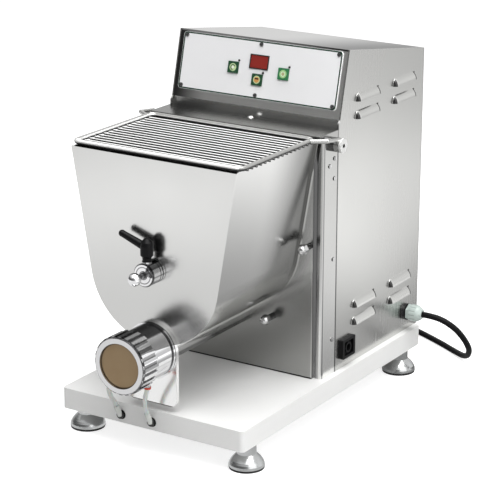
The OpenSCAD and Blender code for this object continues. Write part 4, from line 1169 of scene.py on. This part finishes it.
def makeTie(s):
    # a strap round the coil's turns, on the coil's right side
    centre = Vector(metres([leadSettings["coilCentre"]])[0])
    middle = ((s["inner"] + s["outer"]) / 2, (s["low"] + s["high"]) / 2)
    size = (s["outer"] - s["inner"], s["high"] - s["low"])
    inside, outside = (roundedOutline(middle, size[0] + 2 * g, size[1] + 2 * g, s["corner"] + g)
                       for g in (0, s["thickness"]))
    mesh = bmesh.new()
    rings = [[mesh.verts.new((centre.x + r, centre.y + side * s["width"], z)) for r, z in loop]
             for loop in (inside, outside) for side in (-0.5, 0.5)]
    joinRings(mesh, [rings[i] for i in (0, 1, 3, 2)])
    tie = addObject("coilTie", meshData("coilTie", mesh), "rubberBlack")
    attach(tie, "machine")


makePanelLine(panelDetails)
makeButtonMarks(panelDetails)
makeBoreShadowRings(tapSettings)
makeColumnFootShadow(footShadowSettings)
makeTie(tieSettings)
print("stage: panel marks and coil tie made")


# world, floor and lamps

worldSettings = {
    "horizonFront": 0.17,
    "horizonBehind": 0.95,
    "horizonRight": 0.55,
    "overhead": 1.25,
    "behind": (-0.2, 0.7),
    "right": (0.1, 0.9),
    "rise": (0.38, 0.8),
    "mirrored": 0.9,
    "strength": 0.36,
}


def makeWorld(s):
    # a white sweep for the camera; for reflections a bright ceiling over a horizon that is dark in front
    world = bpy.data.worlds.new("studio")
    world.use_nodes = True
    scene.world = world
    g = Graph(world.node_tree)
    g.tree.nodes.clear()
    place = g.new("TexCoord").outputs["Generated"]
    behind = g.ramp(g.part(place, "Y"), *s["behind"])
    right = g.ramp(g.part(place, "X"), *s["right"])
    rise = g.ramp(g.part(place, "Z"), *s["rise"])
    around = g.plus(g.times(behind, s["horizonBehind"]), g.times(right, s["horizonRight"]))
    low = g.plus(s["horizonFront"], around)
    level = g.plus(g.times(low, g.inverse(rise)), g.times(rise, s["overhead"]))
    path = g.new("LightPath").outputs
    share = g.plus(s["strength"], g.times(path["Is Glossy Ray"], s["mirrored"] - s["strength"]))
    studio, white = g.new("Background"), g.new("Background")
    g.give(g.times(level, share), studio.inputs["Strength"])
    g.give((1, 1, 1, 1), white.inputs["Color"])
    seen = g.mixShader(path["Is Camera Ray"], studio.outputs[0], white.outputs[0])
    g.give(seen, g.new("OutputWorld").inputs["Surface"])


floorSettings = {
    "half": 12,
    "rgb": grey(0.62),
    "seen": 0.75,
    "roughness": 0.9,
    "specular": 0.1,
    # the painted reflection's levels, from here to the end of the table
    "front": 0.90,
    "spot": {"at": (-0.70, -1.25), "radius": 0.60, "gain": 0.42},
    "near": 0.42,
    "far": 1.50,
    "end": 0.88,
    "nearToFar": (0.28, 1.05),
    "farToEnd": (1.25, 2.3),
    "shade": {"slope": 1.75, "from": -0.12, "to": 0.18, "loss": 0.72, "eased": 0.55, "easing": (0.6, 1.6)},
    "frontToSide": (-0.15, 0.35),
}


def paintedFloorReflection(f, s):
    # painted reflection: what polished steel sees of the floor, with a painted bright spot in front and a
    # painted shadow patch beside and behind
    x, y = f.axis("X"), f.axis("Y")
    spot, shadowPatch = s["spot"], s["shade"]
    spotDistance, distance = (f.vectorMath("DISTANCE", f.place, (*at, 0)) for at in (spot["at"], (0, 0)))
    paintedSpot = f.inverse(f.ramp(spotDistance, 0.0, spot["radius"]))
    front = f.plus(s["front"], f.times(paintedSpot, spot["gain"]))
    behind = f.plus(s["near"], f.times(f.ramp(distance, *s["nearToFar"]), s["far"] - s["near"]))
    behind = f.minus(behind, f.times(f.ramp(distance, *s["farToEnd"]), s["far"] - s["end"]))
    slant = f.minus(y, f.times(x, shadowPatch["slope"]))
    loss = f.times(f.ramp(slant, shadowPatch["from"], shadowPatch["to"]), shadowPatch["loss"])
    eased = f.times(f.ramp(distance, *shadowPatch["easing"]), shadowPatch["eased"])
    behind = f.times(behind, f.inverse(f.times(loss, f.inverse(eased))))
    side = f.ramp(f.plus(x, y), *s["frontToSide"])
    return f.plus(f.times(behind, side), f.times(front, f.inverse(side)))


def makeFloor(s):
    a = s["half"]
    mesh = bpy.data.meshes.new("studioFloor")
    mesh.from_pydata([(-a, -a, 0), (a, -a, 0), (a, a, 0), (-a, a, 0)], [], [(0, 1, 2, 3)])
    floor = addObject("studioFloor", mesh)
    f = Finish("studioPaper", specular=s["specular"])
    path = f.new("LightPath").outputs
    f.give((1, 1, 1, 1), f.inputs["Emission Color"])
    f.give(f.times(path["Is Camera Ray"], s["seen"]), f.inputs["Emission Strength"])
    # a glow seen only in reflections, painting light and shadow into what the steel mirrors
    reflectionGlow = f.new("Emission")
    f.give(paintedFloorReflection(f, s), reflectionGlow.inputs["Strength"])
    mirrored = f.math("MAXIMUM", path["Is Glossy Ray"], path["Is Transmission Ray"])
    both = f.mixShader(mirrored, f.shader.outputs[0], reflectionGlow.outputs[0])
    f.give(both, f.tree.nodes["Material Output"].inputs["Surface"])
    mesh.materials.append(f.done((*s["rgb"], 1), s["roughness"]))


lampSettings = {
    "softTop": {"place": (0.5, -0.3, 2.7), "aim": (0, 0, 0.2), "size": 3.0, "watts": 106},
    "fillRight": {"place": (2.6, -0.9, 1.5), "aim": (0, 0, 0.2), "size": 2.8, "watts": 26},
}


def makeLamp(name, s):
    data = bpy.data.lights.new(name, "AREA")
    data.shape = "DISK"
    data.size = s["size"]
    data.energy = s["watts"]
    lamp = addObject(name, data)
    lamp.location = s["place"]
    lamp.rotation_euler = (Vector(s["aim"]) - Vector(s["place"])).to_track_quat("-Z", "Y").to_euler()


makeWorld(worldSettings)
makeFloor(floorSettings)
for name, s in lampSettings.items():
    makeLamp(name, s)
scene.view_settings.view_transform = "Standard"
print("stage: studio lit")
